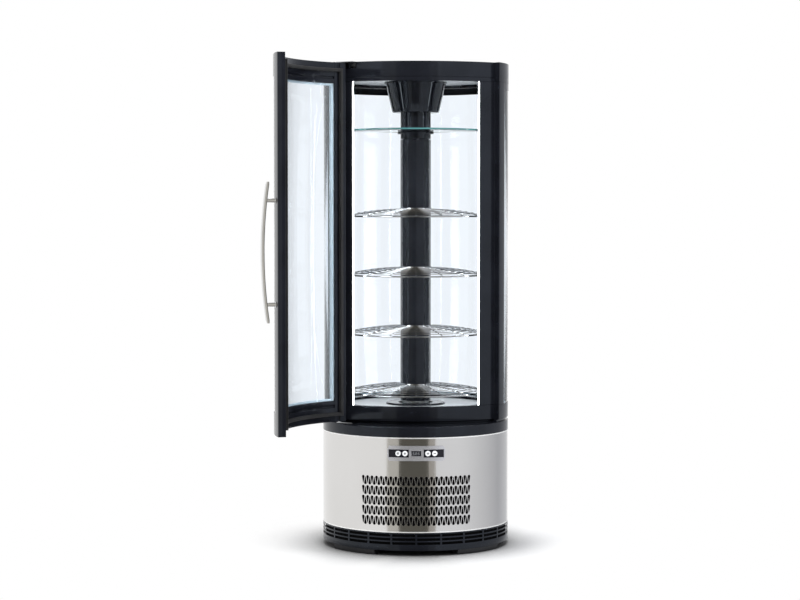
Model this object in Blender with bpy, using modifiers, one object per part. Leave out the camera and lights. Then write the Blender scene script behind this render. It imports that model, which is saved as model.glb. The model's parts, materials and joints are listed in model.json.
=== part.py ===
"""A round rotating cake display case, built piece by piece at its real size.

Metres, +Z up, the front towards -Y. Round pieces are faceted rings whose corners share one set of
angles, so that nested rings keep an even gap. Angles are degrees round from the front towards +X,
about the case's own axis or, for the flatter front and its door, about the bow's centre behind it.
The door stands open at rest, and the origin is under the middle of the whole object.
"""
import math

import bmesh
import bpy
from mathutils import Matrix, Vector

# Fits
GAP = 0.0003
SLIP = 0.0006
RUNNING = 0.0020
WELD = 0.0010
FACET_DEG = 7.5
RING_STEPS = round(360 / FACET_DEG)
SMALL_STEPS = 24
SHAFT_STEPS = 16

# Body, stacked from the floor
BODY_R = 0.340
FOOT_H = 0.018
PLINTH_H = 0.064
SKIRT_H = 0.338
CAP_H = 0.037
NECK_H = 0.009
SILL_H = 0.054
OPENING_H = 1.160
HEADER_H = 0.070
PLINTH_Z = FOOT_H
SKIRT_Z = PLINTH_Z + PLINTH_H
CAP_Z = SKIRT_Z + SKIRT_H
NECK_Z = CAP_Z + CAP_H
SILL_Z = NECK_Z + NECK_H
OPENING_Z = SILL_Z + SILL_H
HEADER_Z = OPENING_Z + OPENING_H
TOP_Z = HEADER_Z + HEADER_H

# Feet and plinth
FOOT_DEPTH = 0.040
FOOT_FROM_DEG = 26.0
FOOT_TO_DEG = 61.0
PLINTH_WALL = 0.004
LOUVRE_DEG = 15.0
LOUVRE_RIB_DEG = 1.2
LOUVRE_ROWS = 3
LOUVRE_Z = 0.022
LOUVRE_H = 0.009
LOUVRE_BAR = 0.005
CHASSIS_T = 0.002

# Skirt and its intake grille
SKIRT_SET = 0.0005
SKIRT_R = BODY_R - SKIRT_SET
SKIRT_T = 0.0012
DROP_PITCH_DEG = 3.05
DROP_COLUMNS = 23
DROP_ROWS = 5
DROP_ROW_H = 0.0355
DROP_L = 0.024
DROP_W = 0.0105
DROP_MARGIN = 0.0015
GRILLE_Z = 0.024

# Control panel
PANEL_Z = 0.3645
BEZEL_H = 0.051
BEZEL_T = 0.0013
BEZEL_DEG = 17.4
BEZEL_END_ROUND = 0.80
FASCIA_T = 0.0014
FASCIA_INSET_DEG = 0.5
FASCIA_INSET = 0.002
WINDOW_H = 0.0262
WINDOW_FROM_DEG = 4.3
WINDOW_TO_DEG = 16.5
DISPLAY_DEG = 2.95
DISPLAY_H = 0.019
SERVICE_H = 0.023
SERVICE_COLUMNS = 9
BUTTON_DEGS = (-10.8, -6.7, 6.9, 10.95)
BUTTON_R = 0.0095
BUTTON_PROUD = 0.0020
BUTTON_TRAVEL = 0.0015
BUTTON_FLANGE = 0.0012
BUTTON_FLANGE_CLEAR = 0.0009
BUTTON_FLANGE_T = 0.0015
BUTTON_STEM_R = 0.003
BOARD_BACK = 0.0215
BOARD_Y = SKIRT_R - BOARD_BACK
BOARD_T = 0.0016
BOARD_W = 0.196
BOARD_POST_X = 0.094
BOARD_POST_R = 0.0025

# Base cap and deck
CAP_WALL = 0.004
NECK_INSET = 0.009
ROOM_WALL = 0.078
INNER_R = BODY_R - ROOM_WALL
DECK_T = 0.005
DECK_Z = 0.505
SHAFT_HOLE_R = 0.016
FLANGE_R = 0.109
FLANGE_HOLE_R = 0.062
FLANGE_T = 0.006
FLANGE_EDGE = 0.004

# Front, a flatter bow than the body, with the door in front of it
DOOR_SET = 0.060
DOOR_R = 0.500
BOW_Y = DOOR_R - (BODY_R - DOOR_SET)
DOOR_T = 0.027
GASKET_T = 0.0115
FRONT_CLEAR = 0.0012
SILL_W = 0.018
HINGE_SIDE_DEG = 37.2
FREE_SIDE_DEG = 38.0

# Fixed frame
POST_IN_DEG = 51.6
POST_OUT_DEG = 70.3
REAR_POST_DEG = 116.0
REAR_POST_TO_DEG = 128.0
REAR_POST_D = 0.040
REAR_POST_IN_R = BODY_R - REAR_POST_D
CEILING_RISE = 0.008
CEILING_T = 0.002
ROOF_T = 0.003
ROOF_SINK = 0.0015

# Fixed glazing
PANE_T = 0.004
PANE_SET = 0.002
PANE_PITCH = 0.018
OUTER_PANE_R = BODY_R - PANE_SET
INNER_PANE_R = OUTER_PANE_R - PANE_PITCH
GLASS_BAR = 0.008
LIGHT_SET = 0.175
LIGHT_FRONT = BODY_R - LIGHT_SET
LIGHT_W = 0.008
LIGHT_T = 0.003

# Ceiling housing, sleeve and glass shelf
HOUSING_TOP_R = 0.110
HOUSING_LIP_R = 0.1145
HOUSING_LIP_H = 0.005
HOUSING_BOTTOM_R = 0.085
HOUSING_H = 0.112
HOUSING_WALL = 0.0025
HOUSING_HOLE_R = 0.0575
SLEEVE_H = 0.095
SLEEVE_WALL = 0.003
SLEEVE_FLANGE_R = 0.068
SLEEVE_FLANGE_T = 0.003
SLEEVE_WEB_RISE = 0.0075
GLASS_SHELF_CLEAR = 0.015
GLASS_SHELF_R = INNER_R - GLASS_SHELF_CLEAR
GLASS_SHELF_T = 0.006
GLASS_SHELF_Z = 1.5075
COLLAR_R = 0.066
COLLAR_H = 0.009

# Column and shaft
COLUMN_R = 0.0555
FLUTE_DEPTH = 0.002
FLUTES = 12
COLUMN_BORE_R = 0.040
SHAFT_R = 0.012
SHAFT_FLANGE_R = 0.052
SHAFT_FLANGE_T = 0.0055
SHAFT_FLANGE_LIFT = 0.0012
BEARING_R = 0.028
BEARING_H = 0.012
BEARING_WALL = 0.008
TOP_BEARING_H = 0.010
SHAFT_TOP_OVER = 0.004

# Wire shelves
SHELVES = 4
SHELF_Z = 0.554
SHELF_STEP = 0.2143
SHELF_CLEAR = 0.012
SHELF_R = INNER_R - SHELF_CLEAR
RIM_W = 0.006
RING_W = 0.003
INNER_RING_CLEAR = 0.0445
MIDDLE_RING_SET = 0.0835
OUTER_RING_SET = 0.0175
RING_RADII = (COLUMN_R + INNER_RING_CLEAR, SHELF_R - MIDDLE_RING_SET, SHELF_R - OUTER_RING_SET)
SPOKES = 8
SPOKE_W = 0.004
WIRE_T = 0.003
SHELF_DROP = 0.010
SHELF_SLOPE = 0.1056
HUB_W = 0.0075

# Door
DOOR_REST_DEG = -110.0
PIN_SET = 0.0114
PIN_BOW_R = DOOR_R - PIN_SET
PIN_BOW_DEG = -34.0
DOOR_ROUND = 0.0225
DOOR_FREE_DEG = 37.5
STILE_DEG = 30.0
DOOR_BOTTOM_LIFT = 0.007
DOOR_TOP_DROP = 0.004
RAIL_H = 0.075
BEAD_W = 0.016
GROOVE_W = 0.008
GROOVE_DEPTH = 0.006
DOOR_PANE_INSET = 0.002
DOOR_INNER_PANE_R = DOOR_R - PANE_PITCH
DOOR_BAR = 0.009
GASKET_W = 0.013
GASKET_EDGE = 0.021
GASKET_HINGE_DEG = -33.9
GASKET_FREE_DEG = 35.9
PIN_R = 0.004
PIN_L = 0.0185
PIN_HOLE_R = 0.0045
PIN_HOLE_L = 0.020
WASHER_R = 0.006
HINGE_PLATE_T = 0.004
TONGUE_T = 0.0035
TONGUE_OVER_PIN = 0.0059
TONGUE_FLANGE_H = 0.019
TONGUE_FLANGE_T = 0.002
TONGUE_FROM_DEG = -35.2
TONGUE_TO_DEG = -27.6

# Handle
HANDLE_DEG = 34.0
HANDLE_Z = 1.080
HANDLE_L = 0.472
HANDLE_W = 0.020
HANDLE_T = 0.009
HANDLE_STAND = 0.022
HANDLE_BOW = 0.018
HANDLE_STEPS = 12
STANDOFF_SPACING = 0.3475
STANDOFF_R = 0.007

# Machine compartment
COIL_W = 0.300
COIL_D = 0.045
COIL_H = 0.220
COIL_SET = 0.1005
COIL_Y = BODY_R - COIL_SET
COIL_PLATE_T = 0.003
COIL_PLATE_PROUD = 0.004
SHROUD_W = 0.260
SHROUD_H = 0.240
SHROUD_T = 0.002
SHROUD_HOLE_R = 0.104
CONDENSER_FAN_R = 0.100
CONDENSER_HUB_R = 0.020
CONDENSER_HUB_L = 0.026
CONDENSER_BLADE_W = 0.030
CONDENSER_MOTOR_R = 0.035
CONDENSER_MOTOR_L = 0.045
MOTOR_BRACKET_W = 0.228
MOTOR_BRACKET_H = 0.020
MOTOR_BRACKET_T = 0.003
FAN_BLADES = 5
BLADE_T = 0.002
BLADE_PITCH_DEG = 28.0
EVAPORATOR_FAN_R = 0.050
EVAPORATOR_HUB_R = 0.014
EVAPORATOR_HUB_L = 0.022
EVAPORATOR_BLADE_W = 0.020
EVAPORATOR_MOTOR_R = 0.022
EVAPORATOR_MOTOR_L = 0.030
EVAPORATOR_IN_R = 0.060
EVAPORATOR_OUT_R = 0.080
EVAPORATOR_H = 0.090
HANGER_R = 0.045
HANGER_T = 0.003
HANGER_STUDS = 3
STUD_R = 0.003
STUD_L = 0.0222
COMPRESSOR_X = -0.120
COMPRESSOR_Y = 0.130
COMPRESSOR_R = 0.072
COMPRESSOR_H = 0.170
COMPRESSOR_DOME = 0.045
COMPRESSOR_CROWN = ((0.60, 0.07), (0.94, 0.45))
COMPRESSOR_FOOTPRINT = 0.80
COMPRESSOR_PLATE_R = 0.095
COMPRESSOR_PLATE_T = 0.003
COMPRESSOR_FEET = 3
COMPRESSOR_FOOT_R = 0.014
COMPRESSOR_FOOT_H = 0.018
COMPRESSOR_FOOT_REACH = 0.075
TRAY_X = 0.140
TRAY_Y = 0.120
TRAY_W = 0.180
TRAY_D = 0.160
TRAY_H = 0.045
TRAY_WALL = 0.002
GEARBOX_W = 0.070
GEARBOX_H = 0.030
GEARBOX_DROP = 0.050
GEARMOTOR_R = 0.030
GEARMOTOR_L = 0.050
GEARBOX_POST_R = 0.005
GEARBOX_POST_REACH = 0.028
INLET_DEG = 180.0
INLET_HALF_DEG = 3.5
INLET_T = 0.0027
INLET_Z = 0.120
INLET_H = 0.040
GLAND_R = 0.008
GLAND_L = 0.009
PIPE_R = 0.004
PIPE_LEAD = 0.030
PIPE_TURN = 0.050
PIPE_TURN_Y = 0.090
PIPE_MIDDLE = (0.120, -0.020)
PIPE_SIDE = (0.190, -0.130)
PIPE_UNDER_TOP = 0.030
PIPE_HUMP = 0.030
PIPE_FALL = 0.010
PIPE_COIL_STEP = 0.005
PIPE_COIL_LEAD = 0.010

# Levels and radii that follow from the sizes above
CAP_WEB_Z = NECK_Z - CAP_WALL
DECK_TOP_Z = DECK_Z + DECK_T
SHAFT_FLANGE_Z = DECK_TOP_Z + GAP + FLANGE_T + SHAFT_FLANGE_LIFT
COLUMN_Z = SHAFT_FLANGE_Z + SHAFT_FLANGE_T + GAP
CEILING_Z = HEADER_Z + CEILING_RISE
HOUSING_TOP_Z = CEILING_Z - GAP
HOUSING_Z = HOUSING_TOP_Z - HOUSING_H
SLEEVE_TOP_Z = HOUSING_Z + HOUSING_WALL + GAP + SLEEVE_FLANGE_T
SLEEVE_Z = HOUSING_Z - SLEEVE_H
COLUMN_TOP_Z = SLEEVE_Z - RUNNING
WEB_Z = SLEEVE_Z + SLEEVE_WEB_RISE
FLOOR_Z = FOOT_H + GAP + CHASSIS_T + GAP
GEARBOX_TOP_Z = CAP_WEB_Z - GEARBOX_DROP
DOOR_Z = NECK_Z + DOOR_BOTTOM_LIFT
DOOR_TOP_Z = TOP_Z - DOOR_TOP_DROP
DOOR_IN_R = DOOR_R - DOOR_T
FRONT_R = DOOR_IN_R - GASKET_T - FRONT_CLEAR
SKIRT_LOW_Z = SKIRT_Z + GAP
GRILLE_LOW_Z = SKIRT_Z + GRILLE_Z
GRILLE_TOP_Z = GRILLE_LOW_Z + DROP_ROWS * DROP_ROW_H
GRILLE_HALF_DEG = DROP_COLUMNS * DROP_PITCH_DEG / 2
FASCIA_IN_R = SKIRT_R + GAP
FASCIA_OUT_R = FASCIA_IN_R + FASCIA_T
BEZEL_OUT_R = FASCIA_OUT_R + GAP + BEZEL_T
SHROUD_Y = COIL_Y - COIL_D / 2 - COIL_PLATE_PROUD - GAP


# Places on the faceted rings
def direction(deg):
    """The unit vector out from the axis at this angle."""
    angle = math.radians(deg)
    return Vector((math.sin(angle), -math.cos(angle), 0))


def flat_radius(radius, deg):
    """How far out the faceted ring of this corner radius lies at this angle."""
    half = FACET_DEG / 2
    into = deg % FACET_DEG - half
    return radius * math.cos(math.radians(half)) / math.cos(math.radians(into))


def on_ring(radius, deg, z=0.0, centre_y=0.0):
    point = direction(deg) * flat_radius(radius, deg)
    point.y += centre_y
    point.z = z
    return point


def on_bow(radius, deg, z=0.0):
    return on_ring(radius, deg, z, BOW_Y)


def degrees_across(width, radius):
    return math.degrees(width / radius)


def side_deg(bow_deg):
    """The angle round the case where a line from the bow's centre meets the body's outside."""
    angle = math.radians(bow_deg)
    along = BOW_Y * math.cos(angle) + math.sqrt(BODY_R ** 2 - (BOW_Y * math.sin(angle)) ** 2)
    return math.degrees(math.atan2(along * math.sin(angle), along * math.cos(angle) - BOW_Y))


def bow_deg(radius, deg):
    """The angle about the bow's centre where a line from the case's axis meets a bow of this radius."""
    angle = math.radians(deg)
    along = -BOW_Y * math.cos(angle) + math.sqrt(radius ** 2 - (BOW_Y * math.sin(angle)) ** 2)
    return math.degrees(math.asin(along * math.sin(angle) / radius))


def facets(start, end):
    """The angles of an arc: both ends and each shared corner between them."""
    clear = 0.35
    inner = [k * FACET_DEG for k in range(math.floor(start / FACET_DEG), math.ceil(end / FACET_DEG) + 1)]
    return [start] + [deg for deg in inner if start + clear < deg < end - clear] + [end]


def frame_outline(inset=0.0):
    """The plan of the fixed frame: round at the sides and the rear, cut back to the bow in front."""
    outer = [on_ring(BODY_R - inset, deg)
             for deg in facets(side_deg(FREE_SIDE_DEG), 360 - side_deg(HINGE_SIDE_DEG))]
    return outer + [on_bow(FRONT_R - inset, deg) for deg in facets(-HINGE_SIDE_DEG, FREE_SIDE_DEG)]


def room_outline(inset=0.0):
    """The plan of the cold room: a circle cut off in front by the inside of the sill."""
    round_r = INNER_R - inset
    front_r = FRONT_R - SILL_W - inset
    meet_y = (round_r ** 2 - front_r ** 2 + BOW_Y ** 2) / (2 * BOW_Y)
    meet_x = math.sqrt(round_r ** 2 - meet_y ** 2)
    meet = math.degrees(math.atan2(meet_x, -meet_y))
    across = math.degrees(math.asin(meet_x / front_r))
    outline = [on_ring(round_r, deg) for deg in facets(meet, 360 - meet)]
    return outline + [on_bow(front_r, deg) for deg in facets(-across, across)][1:-1]


def circle(radius, steps):
    return [direction(360 * step / steps) * radius for step in range(steps)]


# Makers of single shapes
def scene_object(name, data):
    obj = bpy.data.objects.new(name, data)
    parts.objects.link(obj)
    return obj


def mesh_object(name, bm, is_closed=True):
    if is_closed:
        bmesh.ops.recalc_face_normals(bm, faces=bm.faces)
    mesh = bpy.data.meshes.new(name)
    bm.to_mesh(mesh)
    bm.free()
    return scene_object(name, mesh)


def as_mesh(source):
    """The evaluated shape of an object as one welded mesh in world space; the source is removed."""
    bpy.context.view_layer.update()
    evaluated = source.evaluated_get(bpy.context.evaluated_depsgraph_get())
    bm = bmesh.new()
    shape = bpy.data.meshes.new_from_object(evaluated)
    bm.from_mesh(shape)
    bm.transform(source.matrix_world)
    bmesh.ops.remove_doubles(bm, verts=bm.verts, dist=0.00002)
    name = source.name
    bpy.data.objects.remove(source)
    return mesh_object(name, bm)


def prism(name, outlines, low, high):
    """Outlines in plan, the first outside and the rest holes, raised from low to high."""
    curve = bpy.data.curves.new(name, "CURVE")
    curve.dimensions = "2D"
    curve.fill_mode = "BOTH"
    curve.extrude = (high - low) / 2
    for outline in outlines:
        spline = curve.splines.new("POLY")
        spline.points.add(len(outline) - 1)
        spline.use_cyclic_u = True
        for point, place in zip(spline.points, outline):
            point.co = (place[0], place[1], 0, 1)
    obj = scene_object(name, curve)
    obj.location.z = (low + high) / 2
    return as_mesh(obj)


def turned(name, profile, steps=SMALL_STEPS, centre=(0, 0)):
    """A profile of (radius, z), down its outer side first, turned round a vertical axis."""
    bm = bmesh.new()
    corners = [bm.verts.new((radius, 0, z)) for radius, z in profile]
    for first, second in zip(corners, corners[1:]):
        bm.edges.new((first, second))
    meets_axis = profile[0][0] == 0 and profile[-1][0] == 0
    if not meets_axis:
        bm.edges.new((corners[-1], corners[0]))
    mesh = bpy.data.meshes.new(name)
    bm.to_mesh(mesh)
    bm.free()
    obj = scene_object(name, mesh)
    obj.location = (centre[0], centre[1], 0)
    screw = obj.modifiers.new("turn", "SCREW")
    screw.steps = steps
    screw.render_steps = steps
    screw.use_merge_vertices = meets_axis
    screw.merge_threshold = 0.00001
    screw.use_smooth_shade = True
    return obj


def disc(name, radius, low, high, steps=SMALL_STEPS, centre=(0, 0)):
    return turned(name, [(0, high), (radius, high), (radius, low), (0, low)], steps, centre)


def ring(name, inner, outer, low, high, steps=SMALL_STEPS):
    return turned(name, [(outer, high), (outer, low), (inner, low), (inner, high)], steps)


def swept(name, profile, start, end, centre_y=0.0):
    """A closed profile of (radius, z) carried round an axis from one angle to another."""
    bm = bmesh.new()
    corner = bm.verts.layers.int.new("corner")
    verts = [bm.verts.new(on_ring(radius, start, z, centre_y)) for radius, z in profile]
    for number, vert in enumerate(verts):
        vert[corner] = number
    bm.faces.new(verts)
    edges = list(bm.edges)
    for deg in facets(start, end)[1:]:
        grown = bmesh.ops.extrude_edge_only(bm, edges=edges)["geom"]
        edges = [item for item in grown if isinstance(item, bmesh.types.BMEdge)]
        verts = [item for item in grown if isinstance(item, bmesh.types.BMVert)]
        for vert in verts:
            radius, z = profile[vert[corner]]
            vert.co = on_ring(radius, deg, z, centre_y)
    bm.faces.new(sorted(verts, key=lambda vert: vert[corner]))
    return mesh_object(name, bm)


def arc_block(name, inner, outer, start, end, low, high, centre_y=0.0):
    return swept(name, [(outer, high), (outer, low), (inner, low), (inner, high)], start, end, centre_y)


def glass_unit(name, outer_r, inner_r, bar, start, end, low, high, centre_y=0.0):
    """Two curved panes, their outer faces at these radii, bonded by a bar down each end."""
    def band(outside, inside, first, last):
        degs = facets(first, last)
        out = [on_ring(outside, deg, 0, centre_y) for deg in degs]
        return out + [on_ring(inside, deg, 0, centre_y) for deg in reversed(degs)]

    bar_deg = degrees_across(bar, outer_r)
    hollow = band(outer_r - PANE_T, inner_r, start + bar_deg, end - bar_deg)
    return prism(name, [band(outer_r, inner_r - PANE_T, start, end), hollow], low, high)


def box(name, low, high):
    bm = bmesh.new()
    bmesh.ops.create_cube(bm, size=1)
    low, high = Vector(low), Vector(high)
    bmesh.ops.scale(bm, vec=high - low, verts=bm.verts)
    bmesh.ops.translate(bm, vec=(low + high) / 2, verts=bm.verts)
    return mesh_object(name, bm)


def rod(name, start, end, radius, sides=12):
    start, end = Vector(start), Vector(end)
    turn = (end - start).to_track_quat("Z", "Y").to_matrix().to_4x4()
    bm = bmesh.new()
    bmesh.ops.create_cone(bm, cap_ends=True, segments=sides, radius1=radius, radius2=radius,
                          depth=(end - start).length, matrix=Matrix.Translation((start + end) / 2) @ turn)
    return mesh_object(name, bm)


def pipe(name, route, radius):
    """A round pipe along a smooth curve through these points, with filled caps."""
    curve = bpy.data.curves.new(name, "CURVE")
    curve.dimensions = "3D"
    curve.bevel_depth = radius
    curve.bevel_resolution = 1
    curve.use_fill_caps = True
    curve.resolution_u = 4
    spline = curve.splines.new("NURBS")
    spline.points.add(len(route) - 1)
    for point, place in zip(spline.points, route):
        point.co = (*place, 1)
    spline.order_u = 3
    spline.use_endpoint_u = True
    return as_mesh(scene_object(name, curve))


def sheet(name, radius, thickness, degs, levels, is_open, height_at=None, centre_y=0.0):
    """A curved sheet of grid cells, its outer face at radius, with some cells left open."""
    closed = degs[-1] - degs[0] > 359.9
    columns = degs[:-1] if closed else degs
    bm = bmesh.new()
    grid = []
    for deg in columns:
        heights = [height_at(deg, z) if height_at else z for z in levels]
        grid.append([bm.verts.new(on_ring(radius, deg, z, centre_y)) for z in heights])
    for column in range(len(degs) - 1):
        left, right = grid[column], grid[(column + 1) % len(columns)]
        for row in range(len(levels) - 1):
            if not is_open(column, row):
                bm.faces.new((left[row], right[row], right[row + 1], left[row + 1]))
    loose = [vert for vert in bm.verts if not vert.link_faces]
    bmesh.ops.delete(bm, geom=loose, context="VERTS")
    return thickened(mesh_object(name, bm, is_closed=False), thickness)


def thickened(obj, thickness):
    solidify = obj.modifiers.new("wall", "SOLIDIFY")
    solidify.thickness = thickness
    solidify.offset = -1
    solidify.use_even_offset = True
    return obj


def combined(obj, operand, operation):
    """Cuts or joins by a second shape, which is kept out of the built parts."""
    parts.objects.unlink(operand)
    cutters.objects.link(operand)
    operand.hide_render = True
    operand.display_type = "WIRE"
    operand.parent = cabinet
    boolean = obj.modifiers.new(operation.lower(), "BOOLEAN")
    boolean.operation = operation
    boolean.object = operand
    return obj


def joined(pieces):
    """The first piece with each of the others made one solid with it."""
    for piece in pieces[1:]:
        combined(pieces[0], piece, "UNION")
    return pieces[0]


# Finishes
FINISHES = {
    "black_gloss": ((0.012, 0.013, 0.016), 0.18, 0.0),
    "black_matte": ((0.020, 0.020, 0.022), 0.55, 0.0),
    "stainless": ((0.62, 0.61, 0.59), 0.30, 1.0),
    "silver_plastic": ((0.60, 0.61, 0.63), 0.32, 0.6),
    "chrome": ((0.72, 0.73, 0.75), 0.10, 1.0),
    "white_panel": ((0.86, 0.88, 0.90), 0.40, 0.0),
    "clear_glass": ((0.88, 0.94, 0.97), 0.03, 0.0),
    "rubber": ((0.015, 0.015, 0.015), 0.80, 0.0),
    "steel": ((0.40, 0.41, 0.42), 0.45, 1.0),
    "aluminium": ((0.66, 0.67, 0.68), 0.35, 1.0),
    "foam": ((0.82, 0.78, 0.64), 0.90, 0.0),
    "light_strip": ((0.95, 0.95, 0.90), 0.30, 0.0),
    "button_white": ((0.84, 0.85, 0.86), 0.30, 0.0),
    "copper": ((0.72, 0.36, 0.22), 0.35, 1.0),
    "circuit_green": ((0.03, 0.18, 0.08), 0.50, 0.0),
}


def finish(kind):
    material = bpy.data.materials.get(kind) or bpy.data.materials.new(kind)
    material.use_nodes = True
    color, roughness, metallic = FINISHES[kind]
    shader = material.node_tree.nodes["Principled BSDF"]
    shader.inputs["Base Color"].default_value = (*color, 1)
    shader.inputs["Roughness"].default_value = roughness
    shader.inputs["Metallic"].default_value = metallic
    if kind == "clear_glass":
        shader.inputs["Transmission Weight"].default_value = 1.0
    return material


def node(name, shape, kind, carrier=None):
    """Makes a shape the named node, finished and parented to what carries it."""
    if carrier is None:
        obj = shape
        obj.parent = cabinet
    else:
        obj = as_mesh(shape)
        obj.data.transform(Matrix.Translation(-carrier.location))
        obj.parent = carrier
    obj.name = name
    obj.data.name = name
    obj.data.materials.clear()
    obj.data.materials.append(finish(kind))
    obj.data.shade_smooth()
    obj.data.set_sharp_from_angle(angle=math.radians(30))
    return obj


def pivot(name, location):
    """An empty on a joint's axis, which carries the pieces of a moving body."""
    empty = bpy.data.objects.new(name, None)
    parts.objects.link(empty)
    empty.location = location
    empty.parent = cabinet
    return empty


# Base
def make_base():
    plate_top = FLOOR_Z - GAP
    plate_low = plate_top - CHASSIS_T
    flat = math.cos(math.radians((LOUVRE_DEG - LOUVRE_RIB_DEG) / 2))
    plate_r = flat_radius(BODY_R - PLINTH_WALL, LOUVRE_RIB_DEG / 2) * flat - SLIP
    step_r = plate_r - WELD
    plate = disc("plate", plate_r, plate_low, plate_top, RING_STEPS)
    inner = BODY_R - FOOT_DEPTH
    weld_z = plate_low + CHASSIS_T / 2
    profile = [(BODY_R, FOOT_H), (BODY_R, 0), (inner, 0), (inner, weld_z), (step_r, weld_z), (step_r, FOOT_H)]
    arcs = [(FOOT_FROM_DEG, FOOT_TO_DEG), (180 - FOOT_TO_DEG, 180 - FOOT_FROM_DEG)]
    arcs += [(-end, -start) for start, end in arcs]
    feet = [swept("foot", profile, start, end) for start, end in arcs]
    node("base_plate", joined([plate] + feet), "black_matte")


def make_plinth():
    degs = []
    for number in range(round(360 / LOUVRE_DEG)):
        middle = number * LOUVRE_DEG
        degs += [middle - LOUVRE_RIB_DEG / 2, middle + LOUVRE_RIB_DEG / 2]
    degs.append(degs[0] + 360)
    levels = [PLINTH_Z + GAP]
    for row in range(LOUVRE_ROWS):
        low = PLINTH_Z + LOUVRE_Z + row * (LOUVRE_H + LOUVRE_BAR)
        levels += [low, low + LOUVRE_H]
    levels.append(SKIRT_Z)
    plinth = sheet("plinth", BODY_R, PLINTH_WALL, degs, levels,
                   lambda column, row: column % 2 == 1 and row % 2 == 1)
    node("plinth", plinth, "black_gloss")


def drop_outlines():
    """The drops of the grille as flat outlines of (angle, z): one row points down, the next up."""
    half_w = degrees_across(DROP_W / 2, SKIRT_R)
    outlines = []
    for row in range(DROP_ROWS):
        low = GRILLE_LOW_Z + row * DROP_ROW_H
        for column in range(DROP_COLUMNS):
            deg = -GRILLE_HALF_DEG + (column + 0.5) * DROP_PITCH_DEG
            head = low + DROP_ROW_H - DROP_MARGIN
            outlines.append([(deg - half_w, head), (deg + half_w, head), (deg, head - DROP_L)])
        for column in range(DROP_COLUMNS - 1):
            deg = -GRILLE_HALF_DEG + (column + 1) * DROP_PITCH_DEG
            head = low + DROP_MARGIN
            outlines.append([(deg - half_w, head), (deg + half_w, head), (deg, head + DROP_L)])
    return outlines


def make_skirt():
    """The sheet is laid out flat as (angle, z), its grille filled round the drops, and then rolled."""
    bm = bmesh.new()

    def line(points):
        verts = [bm.verts.new((deg, z, 0)) for deg, z in points]
        return [bm.edges.new(pair) for pair in zip(verts, verts[1:] + verts[:1])]

    across = [-GRILLE_HALF_DEG + column * DROP_PITCH_DEG for column in range(DROP_COLUMNS + 1)]
    border = [(deg, GRILLE_LOW_Z) for deg in across] + [(deg, GRILLE_TOP_Z) for deg in reversed(across)]
    edges = line(border)
    for outline in drop_outlines():
        edges += line(outline)
    # The fill measures angles and heights alike, so the heights are stretched while it runs
    stretch = math.degrees(1 / SKIRT_R)
    bmesh.ops.scale(bm, vec=(1, stretch, 1), verts=bm.verts)
    bmesh.ops.triangle_fill(bm, use_beauty=True, edges=edges, normal=(0, 0, 1))
    bmesh.ops.scale(bm, vec=(1, 1 / stretch, 1), verts=bm.verts)
    for face in bm.faces:
        if face.normal.z < 0:
            face.normal_flip()

    def cell(*points):
        bm.faces.new([bm.verts.new((deg, z, 0)) for deg, z in points])

    service = (PANEL_Z - SERVICE_H / 2, PANEL_Z + SERVICE_H / 2)
    first_open = (DROP_COLUMNS - SERVICE_COLUMNS) // 2
    for column, (left, right) in enumerate(zip(across, across[1:])):
        rows = [(SKIRT_LOW_Z, GRILLE_LOW_Z), (GRILLE_TOP_Z, service[0]), service, (service[1], CAP_Z)]
        if first_open <= column < first_open + SERVICE_COLUMNS:
            rows.remove(service)
        for low, high in rows:
            cell((left, low), (right, low), (right, high), (left, high))
    side_levels = [SKIRT_LOW_Z, GRILLE_LOW_Z, GRILLE_TOP_Z, service[0], service[1], CAP_Z]
    plain = facets(GRILLE_HALF_DEG, 360 - GRILLE_HALF_DEG)
    for left, right in zip(plain, plain[1:]):
        left_levels = side_levels if left == plain[0] else (SKIRT_LOW_Z, CAP_Z)
        right_levels = side_levels if right == plain[-1] else (SKIRT_LOW_Z, CAP_Z)
        cell(*[(left, z) for z in reversed(left_levels)], *[(right, z) for z in right_levels])
    for vert in bm.verts:
        vert.co = on_ring(SKIRT_R, vert.co.x, vert.co.y)
    bmesh.ops.remove_doubles(bm, verts=bm.verts, dist=0.00002)
    node("skirt", thickened(mesh_object("skirt", bm, is_closed=False), SKIRT_T), "stainless")


def make_cap_and_deck():
    wall_r = BODY_R - CAP_WALL
    profile = [(BODY_R, NECK_Z), (BODY_R, CAP_Z + GAP), (wall_r, CAP_Z + GAP), (wall_r, CAP_WEB_Z),
               (SHAFT_HOLE_R, CAP_WEB_Z), (SHAFT_HOLE_R, NECK_Z)]
    node("base_cap", turned("base_cap", profile, RING_STEPS), "black_gloss")
    hole = circle(SHAFT_HOLE_R, SMALL_STEPS)
    room = room_outline(SLIP)
    node("deck_insulation", prism("deck_insulation", [room, hole], NECK_Z + GAP, DECK_Z - GAP), "foam")
    node("deck_panel", prism("deck_panel", [room, hole], DECK_Z, DECK_TOP_Z), "white_panel")
    low = DECK_TOP_Z + GAP
    high = low + FLANGE_T
    flange = [(FLANGE_R - FLANGE_EDGE, high), (FLANGE_R, high - FLANGE_EDGE), (FLANGE_R, low),
              (FLANGE_HOLE_R, low), (FLANGE_HOLE_R, high)]
    node("column_base_flange", turned("column_base_flange", flange), "black_gloss")
    roof_z = TOP_Z - ROOF_SINK - ROOF_T
    ceiling_top = CEILING_Z + CEILING_T
    node("ceiling_panel", prism("ceiling_panel", [room], CEILING_Z, ceiling_top), "white_panel")
    node("roof_insulation", prism("roof_insulation", [room], ceiling_top + GAP, roof_z - GAP), "foam")
    node("roof_panel", prism("roof_panel", [room], roof_z, roof_z + ROOF_T), "black_matte")


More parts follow.
